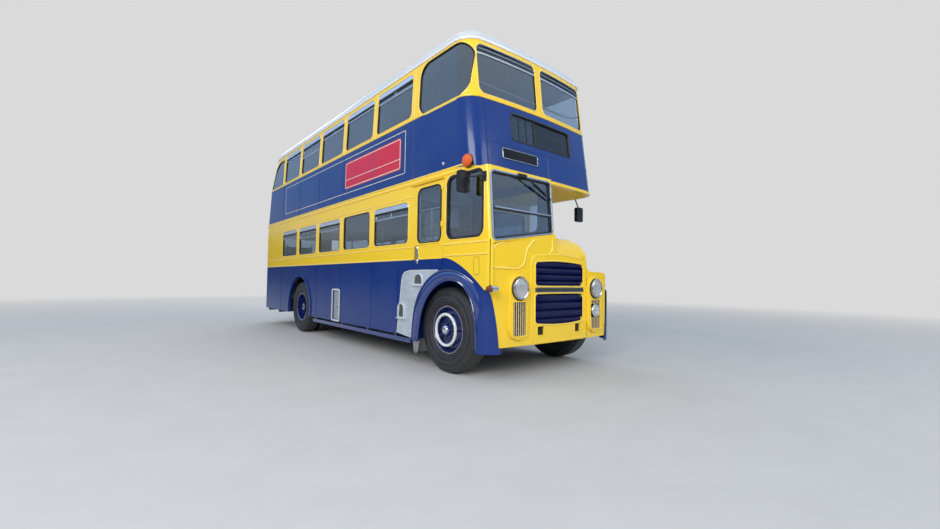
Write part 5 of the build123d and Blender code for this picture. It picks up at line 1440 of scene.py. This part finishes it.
def grille_surround():
    """Raised bead, opening rims and blank badge bar of the radiator grille."""
    piece = Piece("grille_surround")
    top = arcs(
        (0.545, 1.335),
        ((0.515, 1.423), (0.435, 1.457), 8),
        ((0.0, 1.485), (-0.435, 1.457), 16),
        ((-0.515, 1.423), (-0.545, 1.335), 8),
    )
    outline = fill_long([(-0.545, 0.412), (0.545, 0.412)] + top + [(-0.545, 1.335)], 0.08)
    raised = [(-0.016, -0.001), (-0.014, 0.0065), (-0.007, 0.013), (0.001, 0.0155), (0.009, 0.013),
              (0.014, 0.0095)]
    follow(piece, bowed_nose, grown(outline, -0.006), raised, YELLOW_PAINT, True)
    lip = [(-0.006, -0.020), (-0.006, 0.013), (0.000, 0.0185), (0.008, 0.018), (0.014, 0.011)]
    reveal = [(-0.003, -0.045), (0.001, -0.045), (0.001, 0.004), (-0.003, 0.004)]
    for z0, z1, low, high in ((1.084, 1.378, -0.002, 0.024), (0.640, 1.000, -0.028, 0.004)):
        opening = arch_path([(-0.480, z0), (0.496, z0), (0.496, z1), (-0.480, z1)], (low, 0, high, 0), 0.085)
        # The opening lips are paler yellow: a painted highlight round them
        follow(piece, bowed_nose, grown(opening, 0.004), lip, BEAD_HIGHLIGHT_PAINT, True)
        follow(piece, bowed_nose, grown(opening, -0.005), reveal, GRILLE_PAINT, True)
    bar = round_rect(-0.478, 0.494, 1.012, 1.070, 0.012, 4)
    plate(piece, bowed_nose, fill_long(bar, 0.03), 0.008, 0.0185, BLANK_BADGE, 0.002)
    follow(piece, bowed_nose, grown(bar, -0.004), flat_bar(0.005, 0.0205, -0.010, 0.001), CHROME, True)
    front_mouldings(piece)
    piece.make("bus")


def front_mouldings(piece):
    """Raised lines of the moulded front beside the grille."""
    relief = arcs((-0.940, 1.556), ((-1.095, 1.545), (-1.150, 1.490), 8)) + [(-1.150, 1.490), (-1.151, 1.330)]
    relief += arcs((-1.151, 1.312), ((-1.146, 1.296), (-1.128, 1.290), 4))
    relief += [(-1.128, 1.290), (-0.835, 1.287)]
    relief += arcs(
        (-0.811, 1.288),
        ((-0.702, 1.318), (-0.644, 1.395), 8),
        ((-0.612, 1.515), (-0.529, 1.600), 8),
    )
    relief += [(-0.529, 1.600), (-0.490, 1.630)]
    # The raised relief and the second line are paler yellow: a painted highlight along them
    strip(piece, bowed_nose, relief, half_round(0.030, 0.014), BEAD_HIGHLIGHT_PAINT, 0.05)
    field = arcs((-1.122, 1.535), ((-1.098, 1.372), (-0.992, 1.299), 8))
    field += [(-0.992, 1.299), (-0.992, 1.290), (-1.149, 1.290), (-1.149, 1.535)]
    plate(piece, bowed_nose, field, -0.002, 0.0068, YELLOW_PAINT)
    fold = [(-1.118, 1.288), (-1.085, 1.235), (-1.052, 1.170), (-1.022, 1.112)]
    follow(piece, bowed_nose, fold, half_round(0.022, 0.006), YELLOW_PAINT)
    second = arcs((-0.236, 1.478), ((-0.168, 1.512), (-0.146, 1.580), 8)) + [(-0.146, 1.580), (-0.146, 1.665)]
    follow(piece, bowed_nose, second, half_round(0.026, 0.011), BEAD_HIGHLIGHT_PAINT)


def grille_ribs():
    """Navy louvres across the two grille openings."""
    piece = Piece("grille_ribs")
    count = 4
    for z0, z1 in ((1.084, 1.402), (0.612, 1.004)):
        pitch = (z1 - z0) / count
        half = pitch * 0.30
        rib = [(-half, -0.040), (-half * 0.9, -0.018), (-half * 0.3, -0.002), (half * 0.2, 0.002),
               (half * 0.7, -0.004), (half, -0.040)]
        for n in range(count):
            z = z0 + pitch * (n + 0.5)
            short = 0.035 if n in (0, count - 1) else 0.004
            strip(piece, bowed_nose, [(-0.476 + short, z), (0.492 - short, z)], rib, NAVY_PAINT, 0.08)
    piece.make("bus")


def brass_bars():
    """Brass bars below the headlamps, a near-black plate behind them as painted shade in their slots, and
    rims.
    """
    piece = Piece("brass_bars")
    bar = [(-0.0088, 0.0165), (-0.0088, 0.0215), (-0.005, 0.0262), (0.005, 0.0262), (0.0088, 0.0215),
           (0.0088, 0.0165)]
    rim_profile = [(-0.003, 0.012), (-0.003, 0.026), (0.004, 0.0295), (0.011, 0.027), (0.014, 0.020)]
    for middle in (-LAMP_X, LAMP_X):
        for n in range(6):
            x = middle - 0.09 + 0.036 * n
            top = 0.905 if n in (2, 3) else 0.915
            runs = [(0.514, 0.60, 0.75, top)]
            if middle > 0 and n < 5:
                # the fog lamp sits in front of these
                runs = [(0.514, 0.60, 0.676), (0.852, 0.88, top)]
            for heights in runs:
                follow(piece, nose_surface, [(x, z) for z in heights], bar, BRASS)
        # A near-black plate behind the bars: painted shade in the slots
        slots = round_rect(middle - 0.119, middle + 0.119, 0.511, 0.914, 0.018, 4)
        plate(piece, nose_surface, slots, -0.034, -0.030, SEAM_AND_SHADE_BLACK)
        rim = round_rect(middle - 0.122, middle + 0.122, 0.508, 0.917, 0.022, 5)
        follow(piece, nose_surface, rim, rim_profile, YELLOW_PAINT, True)
    piece.make("bus")


def front_seams():
    """Panel seams of the moulded front, and the two holes low down in it with near-black plates behind as
    painted shade.
    """
    piece = Piece("front_seams")
    for x in (-0.60, 0.60):
        strip(piece, bowed_nose, [(x, 0.41), (x, 1.20)], flat_bar(0.004, 0.0006, 0.002, 0.0002), SEAM_AND_SHADE_BLACK, 0.15)
    for x0, x1 in ((-0.435, -0.305), (0.305, 0.435)):
        hole = round_rect(x0, x1, 0.498, 0.612, 0.012, 3)
        follow(piece, bowed_nose, hole, flat_bar(0.012, 0.014, 0.010), YELLOW_PAINT, True)
        # A near-black plate behind each hole: painted shade inside it
        back = round_rect(x0 + 0.002, x1 - 0.002, 0.500, 0.610, 0.010, 3)
        plate(piece, bowed_nose, back, -0.020, -0.014, SEAM_AND_SHADE_BLACK)
    edge = [(-0.007, -0.004), (-0.007, 0.001), (0.007, 0.001), (0.007, -0.004)]
    strip(piece, bowed_nose, [(-1.171, 1.075), (-1.171, 1.565)], edge, SEAM_AND_SHADE_BLACK, 0.12)
    piece.make("bus")


def bonnet_trim():
    """Catches on the side of the bonnet lid."""
    piece = Piece("bonnet_catches")
    side_x = 0.600
    for y in (row_y(-0.55), row_y(0.10)):
        block(piece, (side_x, y - 0.035, 1.335), (side_x + 0.012, y + 0.035, 1.403), CHROME, 0.004)
        hoop = ((0.010, 1.390), (0.023, 1.380), (0.022, 1.350), (0.010, 1.340))
        tube(piece, smooth_path([(side_x + out, y, z) for out, z in hoop]), 0.005, CHROME, 10)
    piece.make("bonnet_lid")


# Wings, steps and rails


WING_OUTER = ((0.600, 0.600), (0.330, 1.108), (-0.090, 1.262), (-0.400, 1.208), (-0.640, 1.075))
WING_INNER = ((0.460, 0.560), (0.283, 0.935), (-0.110, 1.142), (-0.470, 1.030), (-0.600, 0.790))


def wing_edge(points, n):
    """Edge of a front wing: one arc behind the top of the wheel and one before it."""
    return arcs(points[0], (points[1], points[2], n), (points[3], points[4], 10))


def wing_lips():
    """Rolled lips round the edges of the front wings, and their flaps."""
    piece = Piece("wing_lips")
    turns = [2 * math.pi * i / 10 for i in range(10)]
    roll = [(0.011 * math.cos(t), 0.005 + 0.011 * math.sin(t)) for t in turns]
    outer = [(0.629, 0.345), (0.618, 0.44)] + wing_edge(WING_OUTER, 14)
    inner = [(0.503, 0.345), (0.480, 0.45)] + wing_edge(WING_INNER, 14)
    inner += [(-0.625, 0.700), (-0.640, 0.550), (-0.645, 0.370)]
    flap = [(0.470, 0.345), (0.625, 0.345), (0.600, 0.20), (0.545, 0.170), (0.505, 0.20)]
    sheet = [(0.64, 0.35), (1.19, 0.35), (1.18, 0.175), (0.65, 0.175)]
    for side in SIDES:
        for edge in (outer, inner):
            follow(piece, flat_side(side, WING_X), edge, roll, WING_PAINT)
        plate(piece, flat_side(side, 1.215), flap, -0.004, 0.004, FLEX)
        plate(piece, flat_front(0.612, 1), [(side * x, z) for x, z in sheet], -0.004, 0.004, FLEX)
    piece.make("bus")


def cab_trim():
    """Mouldings, hatch, drip rail and corner seam of the cab."""
    piece = Piece("cab_mouldings")
    surface = flat_side(-1)
    # The mouldings and the window bead are paler yellow: a painted highlight along them
    for z, back in ((1.578, 0.000), (1.440, -0.060)):
        strip(piece, surface, [(-0.800, z), (back, z)], half_round(0.026, 0.012), BEAD_HIGHLIGHT_PAINT)
    follow(piece, surface, grown(cab_side_window(), 0.016), half_round(0.014, 0.007), BEAD_HIGHLIGHT_PAINT, True)
    drip = [(-0.006, -0.002), (0.010, -0.002), (0.010, 0.006), (0.006, 0.026), (0.000, 0.030),
            (-0.006, 0.014)]
    strip(piece, surface, [(-0.030, 2.412), (0.690, 2.412)], drip, YELLOW_PAINT)
    hatch = round_rect(-0.662, -0.575, 1.206, 1.405, 0.010, 4)
    follow(piece, surface, hatch, flat_bar(0.004, 0.0006, 0.002, 0.0002), SEAM_AND_SHADE_BLACK, True)
    lock = [(0, 0.0), (0, 0.008), (0.003, 0.008), (0.004, 0.006), (0.004, 0.0)]
    lathe(piece, surface(-0.618, 1.216), OFFSIDE, lock, ALLOY, 14)
    corner = [Vector((-1.202, row_y(-0.818), z)) for z in (1.60, 1.40, 1.20, 1.06)]
    tube(piece, corner, 0.005, SEAM_AND_SHADE_BLACK, 8)
    piece.make("bus")


def wing_crowns():
    """Rounded roll that each front wing carries round the wheel arch."""
    piece = Piece("wing_crowns")
    outer = [(0.629, 0.350), (0.622, 0.430), (0.614, 0.515)] + wing_edge(WING_OUTER, 16)
    inner = [(0.503, 0.350), (0.492, 0.400), (0.478, 0.480)] + wing_edge(WING_INNER, 16)
    fades = [1.0] * len(outer) + [0.8, 0.5, 0.1]
    outer += [(-0.668, 1.000), (-0.688, 0.920), (-0.702, 0.840)]
    inner += [(-0.612, 0.745), (-0.622, 0.695), (-0.630, 0.640)]
    steps = 10
    for side in SIDES:
        surface = flat_side(side, WING_X)
        verts = []
        for a, b, fade in zip(outer, inner, fades):
            levels = [(0.9, -0.004), (0.1, -0.004)]
            heights = [0.021 * fade * math.sin(math.pi * k / steps) ** 0.62 for k in range(steps + 1)]
            crown = [(0.07 + 0.86 * k / steps, height - 0.0015) for k, height in enumerate(heights)]
            for t, out in crown + levels:
                verts.append(surface(blend(a[0], b[0], t), blend(a[1], b[1], t), out))
        piece.add(verts, ring_faces(len(outer), steps + 3), WING_PAINT)
    piece.make("bus")


def step_trim():
    """White edge, toe holes and bolts of the step panel, and the panels behind it."""
    piece = Piece("step_panel_trim")
    surface = flat_side(-1, 1.224)
    edge = [(0.085, 1.266), (0.40, 1.268), (0.716, 1.267), (0.842, 1.246), (0.895, 1.200), (0.918, 1.128),
            (0.955, 0.85), (1.018, 0.402)]
    strip(piece, surface, edge, flat_bar(0.010, 0.003, 0.002, 0.001), WHITE_PAINT)
    lip = [(-0.014, -0.02), (0.006, -0.02), (0.010, 0.006), (0.004, 0.020), (-0.006, 0.024), (-0.014, 0.014)]
    tread = [(-0.006, -0.004), (0.008, -0.004), (0.008, 0.010), (0.004, 0.034), (-0.003, 0.034),
             (-0.006, 0.010)]
    for middle, wide, z0, z1 in ((0.505, 0.088, 1.080, 1.205), (0.905, 0.064, 0.615, 0.790)):
        rounds = (0.012, wide, wide, 0.012)
        hood = round_rect(middle - wide - 0.016, middle + wide + 0.016, z0 - 0.004, z1 + 0.020, rounds, 7)
        follow(piece, surface, hood, lip, SHEET_EDGE, True)
        rounds = (0.010, wide - 0.008, wide - 0.008, 0.010)
        # The dark grey plate in each toe hole is painted shade
        pocket = round_rect(middle - wide, middle + wide, z0 + 0.004, z1, rounds, 7)
        plate(piece, surface, pocket, -0.012, 0.0012, TOE_HOLE_SHADE_GREY)
        shelf = [(middle - wide - 0.042, z0 - 0.012), (middle + wide + 0.042, z0 - 0.012)]
        follow(piece, surface, shelf, tread, SHEET_EDGE)
    backing = [(0.66, 0.43), (1.055, 0.43), (1.055, 1.278), (0.66, 1.278)]
    strake = [(-0.12, 1.230), (0.70, 1.230), (0.70, 1.290), (-0.12, 1.290)]
    for outline in (backing, strake):
        plate(piece, flat_side(-1, 1.211), outline, -0.0015, 0.0015, BLUE_PAINT)
    bolt = [(0, 0.0), (0, 0.008), (0.003, 0.007), (0.005, 0.0)]
    for s, z in ((0.15, 1.24), (0.45, 1.24), (0.78, 1.22), (0.86, 0.98), (0.90, 0.55), (0.72, 0.42)):
        lathe(piece, surface(s, z), OFFSIDE, bolt, ALLOY, 12)
    piece.make("bus")


def skirt_trim():
    """Fuel filler in its recess, and the beads round the rear arches."""
    piece = Piece("skirt_trim")
    surface = flat_side(-1)
    recess = round_rect(2.967, 3.266, 0.40, 0.94, 0.02, 4)
    follow(piece, surface, grown(recess, 0.006), flat_bar(0.026, 0.006, 0.004, 0.002), WHITE_PAINT, True)
    back = round_rect(2.972, 3.261, 0.405, 0.935, 0.02, 4)
    plate(piece, surface, back, -0.034, -0.028, FILLER_GREY)
    s, z = 3.115, 0.655
    cap = [(0, 0.0), (0, 0.062), (0.008, 0.062), (0.010, 0.050), (0.026, 0.046), (0.030, 0.038), (0.030, 0.0)]
    lathe(piece, surface(s, z, -0.030), OFFSIDE, cap, ALLOY, 28)
    for t in (math.radians(120 * k + 20) for k in range(3)):
        a, b = s + 0.034 * math.cos(t), z + 0.034 * math.sin(t)
        low, high = surface(a - 0.010, b - 0.010, 0.008), surface(a + 0.010, b + 0.010, -0.004)
        block(piece, low, high, ALLOY, 0.003)
    turns = [math.radians(8 + 164 * i / 24) for i in range(25)]
    arch = [(REAR_AXLE + 0.66 * math.cos(t), 0.40 + 0.80 * math.sin(t)) for t in turns]
    for side in SIDES:
        follow(piece, flat_side(side), arch, half_round(0.022, 0.010), BLUE_PAINT)
    piece.make("bus")


# Seats


def evaluated(obj):
    """Vertices and faces of an object as its modifiers leave it."""
    graph = bpy.context.evaluated_depsgraph_get()
    mesh = obj.evaluated_get(graph).to_mesh()
    verts = [v.co.copy() for v in mesh.vertices]
    faces = [tuple(p.vertices) for p in mesh.polygons]
    obj.evaluated_get(graph).to_mesh_clear()
    return verts, faces


def temporary(verts, faces):
    """Object that is only used to work a shape out."""
    mesh = bpy.data.meshes.new("work")
    mesh.from_pydata([tuple(v) for v in verts], [], faces)
    obj = bpy.data.objects.new("work", mesh)
    bpy.context.scene.collection.objects.link(obj)
    return obj


def discard(obj):
    """Remove a temporary object and its mesh."""
    mesh = obj.data
    bpy.data.objects.remove(obj)
    bpy.data.meshes.remove(mesh)


def swollen(size, cap=0.013, voxel=0.029):
    """Pad blown up by cloth pressure from a block a little smaller than its place."""
    start = Piece("work")
    half = [length / 2 - 0.008 for length in size]
    block(start, [-h for h in half], half, None, 0.012)
    obj = temporary(start.verts, start.faces)
    grid = obj.modifiers.new("grid", "REMESH")
    grid.mode = "VOXEL"
    grid.voxel_size = voxel
    verts, faces = evaluated(obj)
    discard(obj)
    obj = temporary(verts, faces)
    cloth = obj.modifiers.new("cloth", "CLOTH")
    cloth.settings.quality = 4
    cloth.settings.use_pressure = True
    cloth.settings.uniform_pressure_force = 4
    cloth.settings.effector_weights.gravity = 0
    for step in range(1, 21):
        bpy.context.scene.frame_set(step)
        moved = evaluated(obj)[0]
    discard(obj)
    bpy.context.scene.frame_set(1)
    for i, place in enumerate(moved):
        shift = place - verts[i]
        if shift.length > cap:
            shift *= cap / shift.length
        verts[i] = verts[i] + shift
    obj = temporary(verts, faces)
    finer = obj.modifiers.new("finer", "SUBSURF")
    finer.levels = 1
    verts, faces = evaluated(obj)
    discard(obj)
    return verts, faces


def sewn(verts, seams, depth=0.007, wide=0.016):
    """Pull the pad in along seams: each is an axis, a place on it, the axis that faces out and its sign."""
    for axis, place, out, sign in seams:
        for v in verts:
            near = abs(v[axis] - place) / wide
            if near < 1 and v[out] * sign > 0:
                v[out] -= sign * depth * (1 - near) ** 2 * (1 + 2 * near)
    return verts


def piping(piece, verts, faces, path, place, material, radius=0.0052):
    """Piping laid on the pad along a path of points near its surface."""
    tree = BVHTree.FromPolygons([tuple(v) for v in verts], faces)
    nearest = [tree.find_nearest(Vector(point))[:2] for point in path]
    tube(piece, [place @ (spot + normal * 0.0015) for spot, normal in nearest], radius, material, 6, True)


def loop(a, b, radius, other, order):
    """Rounded rectangle of points in a plane; order puts (a, b, other) on the axes."""
    out = []
    for p, q in round_rect(-a, a, -b, b, radius, 4):
        spot = [0, 0, 0]
        spot[order[0]], spot[order[1]], spot[order[2]] = p, q, other
        out.append(spot)
    return out


DRIVER_CROSS = ((2, 0.08, 1, -1), (2, -0.08, 1, -1))
BENCH_SEAMS = (0.0, 0.32, -0.32)
FLAT, UPRIGHT, SIDEWAYS = (0, 1, 2), (0, 2, 1), (1, 2, 0)
# Each pad has a size, seams, and piping: two half lengths, a radius, a height and the order of axes
PADS = {
    "cushion": (
        (0.850, 0.400, 0.110),
        ((0, 0.0, 2, 1), (1, 0.135, 2, 1)),
        (0.405, 0.180, 0.05, 0.046, FLAT),
    ),
    "back": (
        (0.850, 0.072, 0.452),
        ((0, 0.0, 1, -1), (2, 0.120, 1, -1)),
        (0.405, 0.206, 0.05, -0.030, UPRIGHT),
    ),
    "driver_cushion": ((0.440, 0.408, 0.100), ((1, 0.10, 2, 1),), (0.200, 0.184, 0.05, 0.042, FLAT)),
    "driver_back": ((0.440, 0.080, 0.540), DRIVER_CROSS, (0.200, 0.250, 0.06, -0.034, UPRIGHT)),
    "bench": (
        (0.460, 1.280, 0.100),
        tuple((1, y, 2, 1) for y in BENCH_SEAMS),
        (0.210, 0.620, 0.05, 0.042, FLAT),
    ),
    "bench_back": (
        (0.088, 1.280, 0.448),
        tuple((1, y, 0, 1) for y in BENCH_SEAMS),
        (0.620, 0.205, 0.05, 0.038, SIDEWAYS),
    ),
}
SEAT_PITCH = 0.72
LOWER_FLOOR = 0.70
UPPER_FLOOR = 2.50


def seat_rail(rails, side, s, base):
    """White rail over the back of one double seat."""
    top = base + 0.625
    path = [
        (0.330, 0.492, base + 0.36),
        (0.330, 0.520, top - 0.050),
        (0.360, 0.524, top),
        (0.725, 0.524, top + 0.004),
        (1.100, 0.524, top),
        (1.128, 0.520, top - 0.050),
        (1.128, 0.492, base + 0.36),
    ]
    points = [(side * x, row_y(s + back), z) for x, back, z in path]
    tube(rails, smooth_path(points, 5), 0.0125, WHITE_PAINT, 10)


def seats():
    """Sprung cushions and backs of every seat, and the rails on their tops."""
    kinds = {}
    for name, (size, seams, pipe) in PADS.items():
        verts, faces = swollen(size)
        kinds[name] = (sewn(verts, seams), faces, pipe)
    rake = Matrix.Rotation(-math.atan2(0.0695, 0.448), 4, "X")
    rows = [("lower", LOWER_FLOOR, side, 1.180 + SEAT_PITCH * n) for n in range(4) for side in SIDES]
    rows += [("upper", UPPER_FLOOR, -1, 0.330 + SEAT_PITCH * n) for n in range(7)]
    rows += [("upper", UPPER_FLOOR, 1, 0.330 + SEAT_PITCH * n) for n in range(9)]
    spots = {"lower": [], "upper": []}
    rails = Piece("seat_rails")
    for deck, floor_z, side, s in rows:
        base = floor_z + 0.330
        x = side * 0.725
        spots[deck].append(("cushion", Matrix.Translation((x, row_y(s + 0.200), base + 0.055))))
        spots[deck].append(("back", Matrix.Translation((x, row_y(s + 0.4725), base + 0.322)) @ rake))
        seat_rail(rails, side, s, base)
    rails.make("bus")
    spots["lower"].append(("driver_cushion", Matrix.Translation((-0.400, row_y(0.395), 1.440))))
    spots["lower"].append(("driver_back", Matrix.Translation((-0.400, row_y(0.640), 1.660))))
    for side in SIDES:
        turn = Matrix.Rotation(math.pi if side > 0 else 0, 4, "Z")
        for name, x, z in (("bench", 0.830, 1.245), ("bench_back", 1.105, 1.420)):
            spots["lower"].append((name, Matrix.Translation((side * x, row_y(REAR_AXLE), z)) @ turn))
    for deck, places in spots.items():
        for part in ("cushions", "backs"):
            piece = Piece("seat_%s_%s_pads" % (part, deck))
            for name, place in places:
                if name.endswith("back") != (part == "backs"):
                    continue
                verts, faces, pipe = kinds[name]
                piece.add([place @ v for v in verts], faces, MOQUETTE)
                piping(piece, verts, faces, loop(*pipe), place, VINYL)
            made = piece.make("bus", 60)
            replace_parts(made, "seat_cushions_" + deck)


# Wheels


def hub_circle(middle, radius, count, start=0.0):
    """Points round a wheel's axis."""
    return circle(middle, Vector((0, 1, 0)), Vector((0, 0, 1)), radius, count, start)


def wheel_faces():
    """Nuts, white guard ring and chrome hub of the front wheels, and nuts of the rear ones."""
    stud = [(0, 0.0), (0, 0.009), (0.014, 0.009), (0.016, 0.0)]
    hub = [(-0.004, 0.0), (-0.004, 0.050), (0.010, 0.050), (0.018, 0.044), (0.023, 0.030), (0.025, 0.0)]
    for side, word in SIDE_WORDS:
        axis = Vector((side, 0, 0))
        piece = Piece("wheel_nuts_front_" + word)
        middle = Vector((0, row_y(0), WHEEL_Z))
        for spot in hub_circle(middle, 0.108, 10):
            hexagon(piece, spot + axis * 1.106, axis, 0.0155, 0.026, NUT_PAINT)
            lathe(piece, spot + axis * 1.128, axis, stud, NUT_PAINT, 12)
        tube(piece, hub_circle(middle + axis * 1.152, 0.190, 48), 0.0195, WHITE_PAINT, 14, True)
        bends = ((1.066, 0.196), (1.110, 0.193), (1.152, 0.190))
        for stay in zip(*(hub_circle(middle + axis * x, r, 5, 0.5) for x, r in bends)):
            tube(piece, stay, 0.0105, NAVY_PAINT, 8)
        lathe(piece, middle + axis * 1.160, axis, hub, CHROME, 40)
        for spot in hub_circle(middle + axis * 1.150, 0.0585, 8):
            hexagon(piece, spot, axis, 0.0065, 0.010, ALLOY)
        piece.make("wheel_front_" + word)
        piece = Piece("wheel_nuts_rear_" + word)
        middle = Vector((0, row_y(REAR_AXLE), WHEEL_Z))
        for spot in hub_circle(middle + axis * REAR_NUT_X, 0.108, 10):
            hexagon(piece, spot, axis, 0.0155, 0.024, NUT_PAINT)
        for spot in hub_circle(middle + axis * REAR_HUB_X, 0.062, 8):
            hexagon(piece, spot, axis, 0.008, 0.010, ALLOY)
        piece.make("wheels_rear_" + word)


def hexagon(piece, place, axis, radius, height, material):
    """Hexagon nut with a chamfered top."""
    lathe(piece, place, axis, [(0.0, radius), (height * 0.8, radius), (height, radius * 0.82)], material, 6)


def mirror_glass():
    """Reflecting faces and clamps of the mirrors."""
    piece = Piece("mirror_glass")
    for x0, x1, s, z0, z1 in (
        (-1.420, -1.285, -0.500, 2.140, 2.365),
        (1.285, 1.415, -0.160, 2.105, 2.310),
    ):
        outline = round_rect(x0, x1, z0, z1, 0.022, 5)
        plate(piece, flat_front(s, 1), outline, -0.002, 0.0015, MIRROR, 0.0008)
        follow(piece, flat_front(s, 1), grown(outline, 0.004), half_round(0.010, 0.004), SEAL, True)
    piece.make("bus")


# Build the pieces
seats()
window_seals()
slider_rails()
other_glass()
windscreen_trim()
door_trim()
side_mouldings()
gutter()
front_rail()
advert()
front_signs()
headlamps()
small_lamps()
grille_surround()
grille_ribs()
brass_bars()
front_seams()
bonnet_trim()
wing_lips()
wing_crowns()
cab_trim()
step_trim()
skirt_trim()
wheel_faces()
mirror_glass()


# Camera, light and floor

PHOTO_WIDTH = 940
FOCAL_PIXELS = 423.3
SHIFT_PIXELS = 20.5
camera_data = bpy.data.cameras.new("camera")
camera = bpy.data.objects.new("camera", camera_data)
bpy.context.scene.collection.objects.link(camera)
camera_data.sensor_width = 36.0
camera_data.lens = FOCAL_PIXELS / PHOTO_WIDTH * camera_data.sensor_width
camera_data.shift_x = SHIFT_PIXELS / PHOTO_WIDTH
camera_data.clip_end = 200
yaw, pitch, roll = math.radians(38.78), math.radians(2.17), math.radians(0.86)
look = Vector((math.sin(yaw) * math.cos(pitch), math.cos(yaw) * math.cos(pitch), math.sin(pitch)))
camera.location = (-4.414, -7.469, 1.138)
turn = look.to_track_quat("-Z", "Y").to_matrix().to_4x4() @ Matrix.Rotation(roll, 4, "Z")
camera.rotation_euler = turn.to_euler()
bpy.context.scene.camera = camera


def area(name, place, target, size, power, gloss, color=(1, 1, 1)):
    """Rectangular lamp that shines from a place towards a target."""
    data = bpy.data.lights.new(name, "AREA")
    data.shape = "RECTANGLE"
    data.size, data.size_y = size
    data.energy = power
    data.color = color
    data.specular_factor = gloss
    lamp = bpy.data.objects.new(name, data)
    lamp.location = place
    lamp.rotation_euler = (Vector(target) - Vector(place)).to_track_quat("-Z", "Y").to_euler()
    bpy.context.scene.collection.objects.link(lamp)


area("key", (-13, -11, 7.5), (0, -1, 1.8), (9, 6), 1620, 0.32, (1.0, 0.98, 0.95))
area("fill", (3.5, -16, 7), (0, -2, 2), (8, 6), 520, 0.06)
area("spark", (-8.8, 1.6, 11.9), (-0.5, -2, 1.5), (4.5, 0.8), 210, 1.0, (1.0, 0.98, 0.94))
area("back", (4, 14, 10), (0, 2, 2), (10, 6), 620, 0.4)

world = bpy.data.worlds.new("studio")
bpy.context.scene.world = world
world.use_nodes = True
tree = world.node_tree
tree.nodes.clear()


def world_node(kind, *sources):
    """Node of the world with sockets linked to its first inputs."""
    made = tree.nodes.new(kind)
    for socket, source in zip(made.inputs, sources):
        tree.links.new(source, socket)
    return made


def sky(height, strength, *stops):
    """Background whose colour changes with the height that a ray looks to."""
    ramp = world_node("ShaderNodeValToRGB", height)
    elements = ramp.color_ramp.elements
    for element, (place, color) in zip(elements, (stops[0], stops[-1])):
        element.position = place
        element.color = (*color, 1)
    for place, color in stops[1:-1]:
        elements.new(place).color = (*color, 1)
    made = world_node("ShaderNodeBackground", ramp.outputs[0])
    made.inputs["Strength"].default_value = strength
    return made.outputs[0]


generated = tree.nodes.new("ShaderNodeTexCoord").outputs["Generated"]
height = world_node("ShaderNodeSeparateXYZ", generated).outputs[2]
light = sky(height, 0.60, (0.0, (0.30, 0.33, 0.36)), (0.40, (0.62, 0.78, 1.0)))
mirrored = sky(
    height, 1.0,
    (0.0, (0.12, 0.14, 0.16)),
    (0.03, (0.04, 0.055, 0.05)),
    (0.075, (0.06, 0.08, 0.08)),
    (0.11, (0.38, 0.46, 0.58)),
    (0.20, (0.26, 0.44, 0.78)),
    (0.50, (0.40, 0.62, 0.95)),
    (0.80, (0.92, 0.96, 1.0)),
)
seen = tree.nodes.new("ShaderNodeBackground")
seen.inputs["Color"].default_value = (*BACKDROP, 1)
path = tree.nodes.new("ShaderNodeLightPath").outputs
straight = world_node("ShaderNodeMath", path["Is Camera Ray"], path["Is Transmission Ray"])
straight.operation = "MAXIMUM"
glossy = world_node("ShaderNodeMixShader", path["Is Glossy Ray"], light, mirrored)
either = world_node("ShaderNodeMixShader", straight.outputs[0], glossy.outputs[0], seen.outputs[0])
world_node("ShaderNodeOutputWorld", either.outputs[0])

floor_mesh = bpy.data.meshes.new("floor")
floor_corners = [(-60, -60, 0), (60, -60, 0), (60, 60, 0), (-60, 60, 0)]
floor_mesh.from_pydata(floor_corners, [], [(0, 1, 2, 3)])
floor_mesh.materials.append(ground())
floor = bpy.data.objects.new("floor", floor_mesh)
bpy.context.scene.collection.objects.link(floor)
bpy.context.scene.view_settings.view_transform = "Standard"
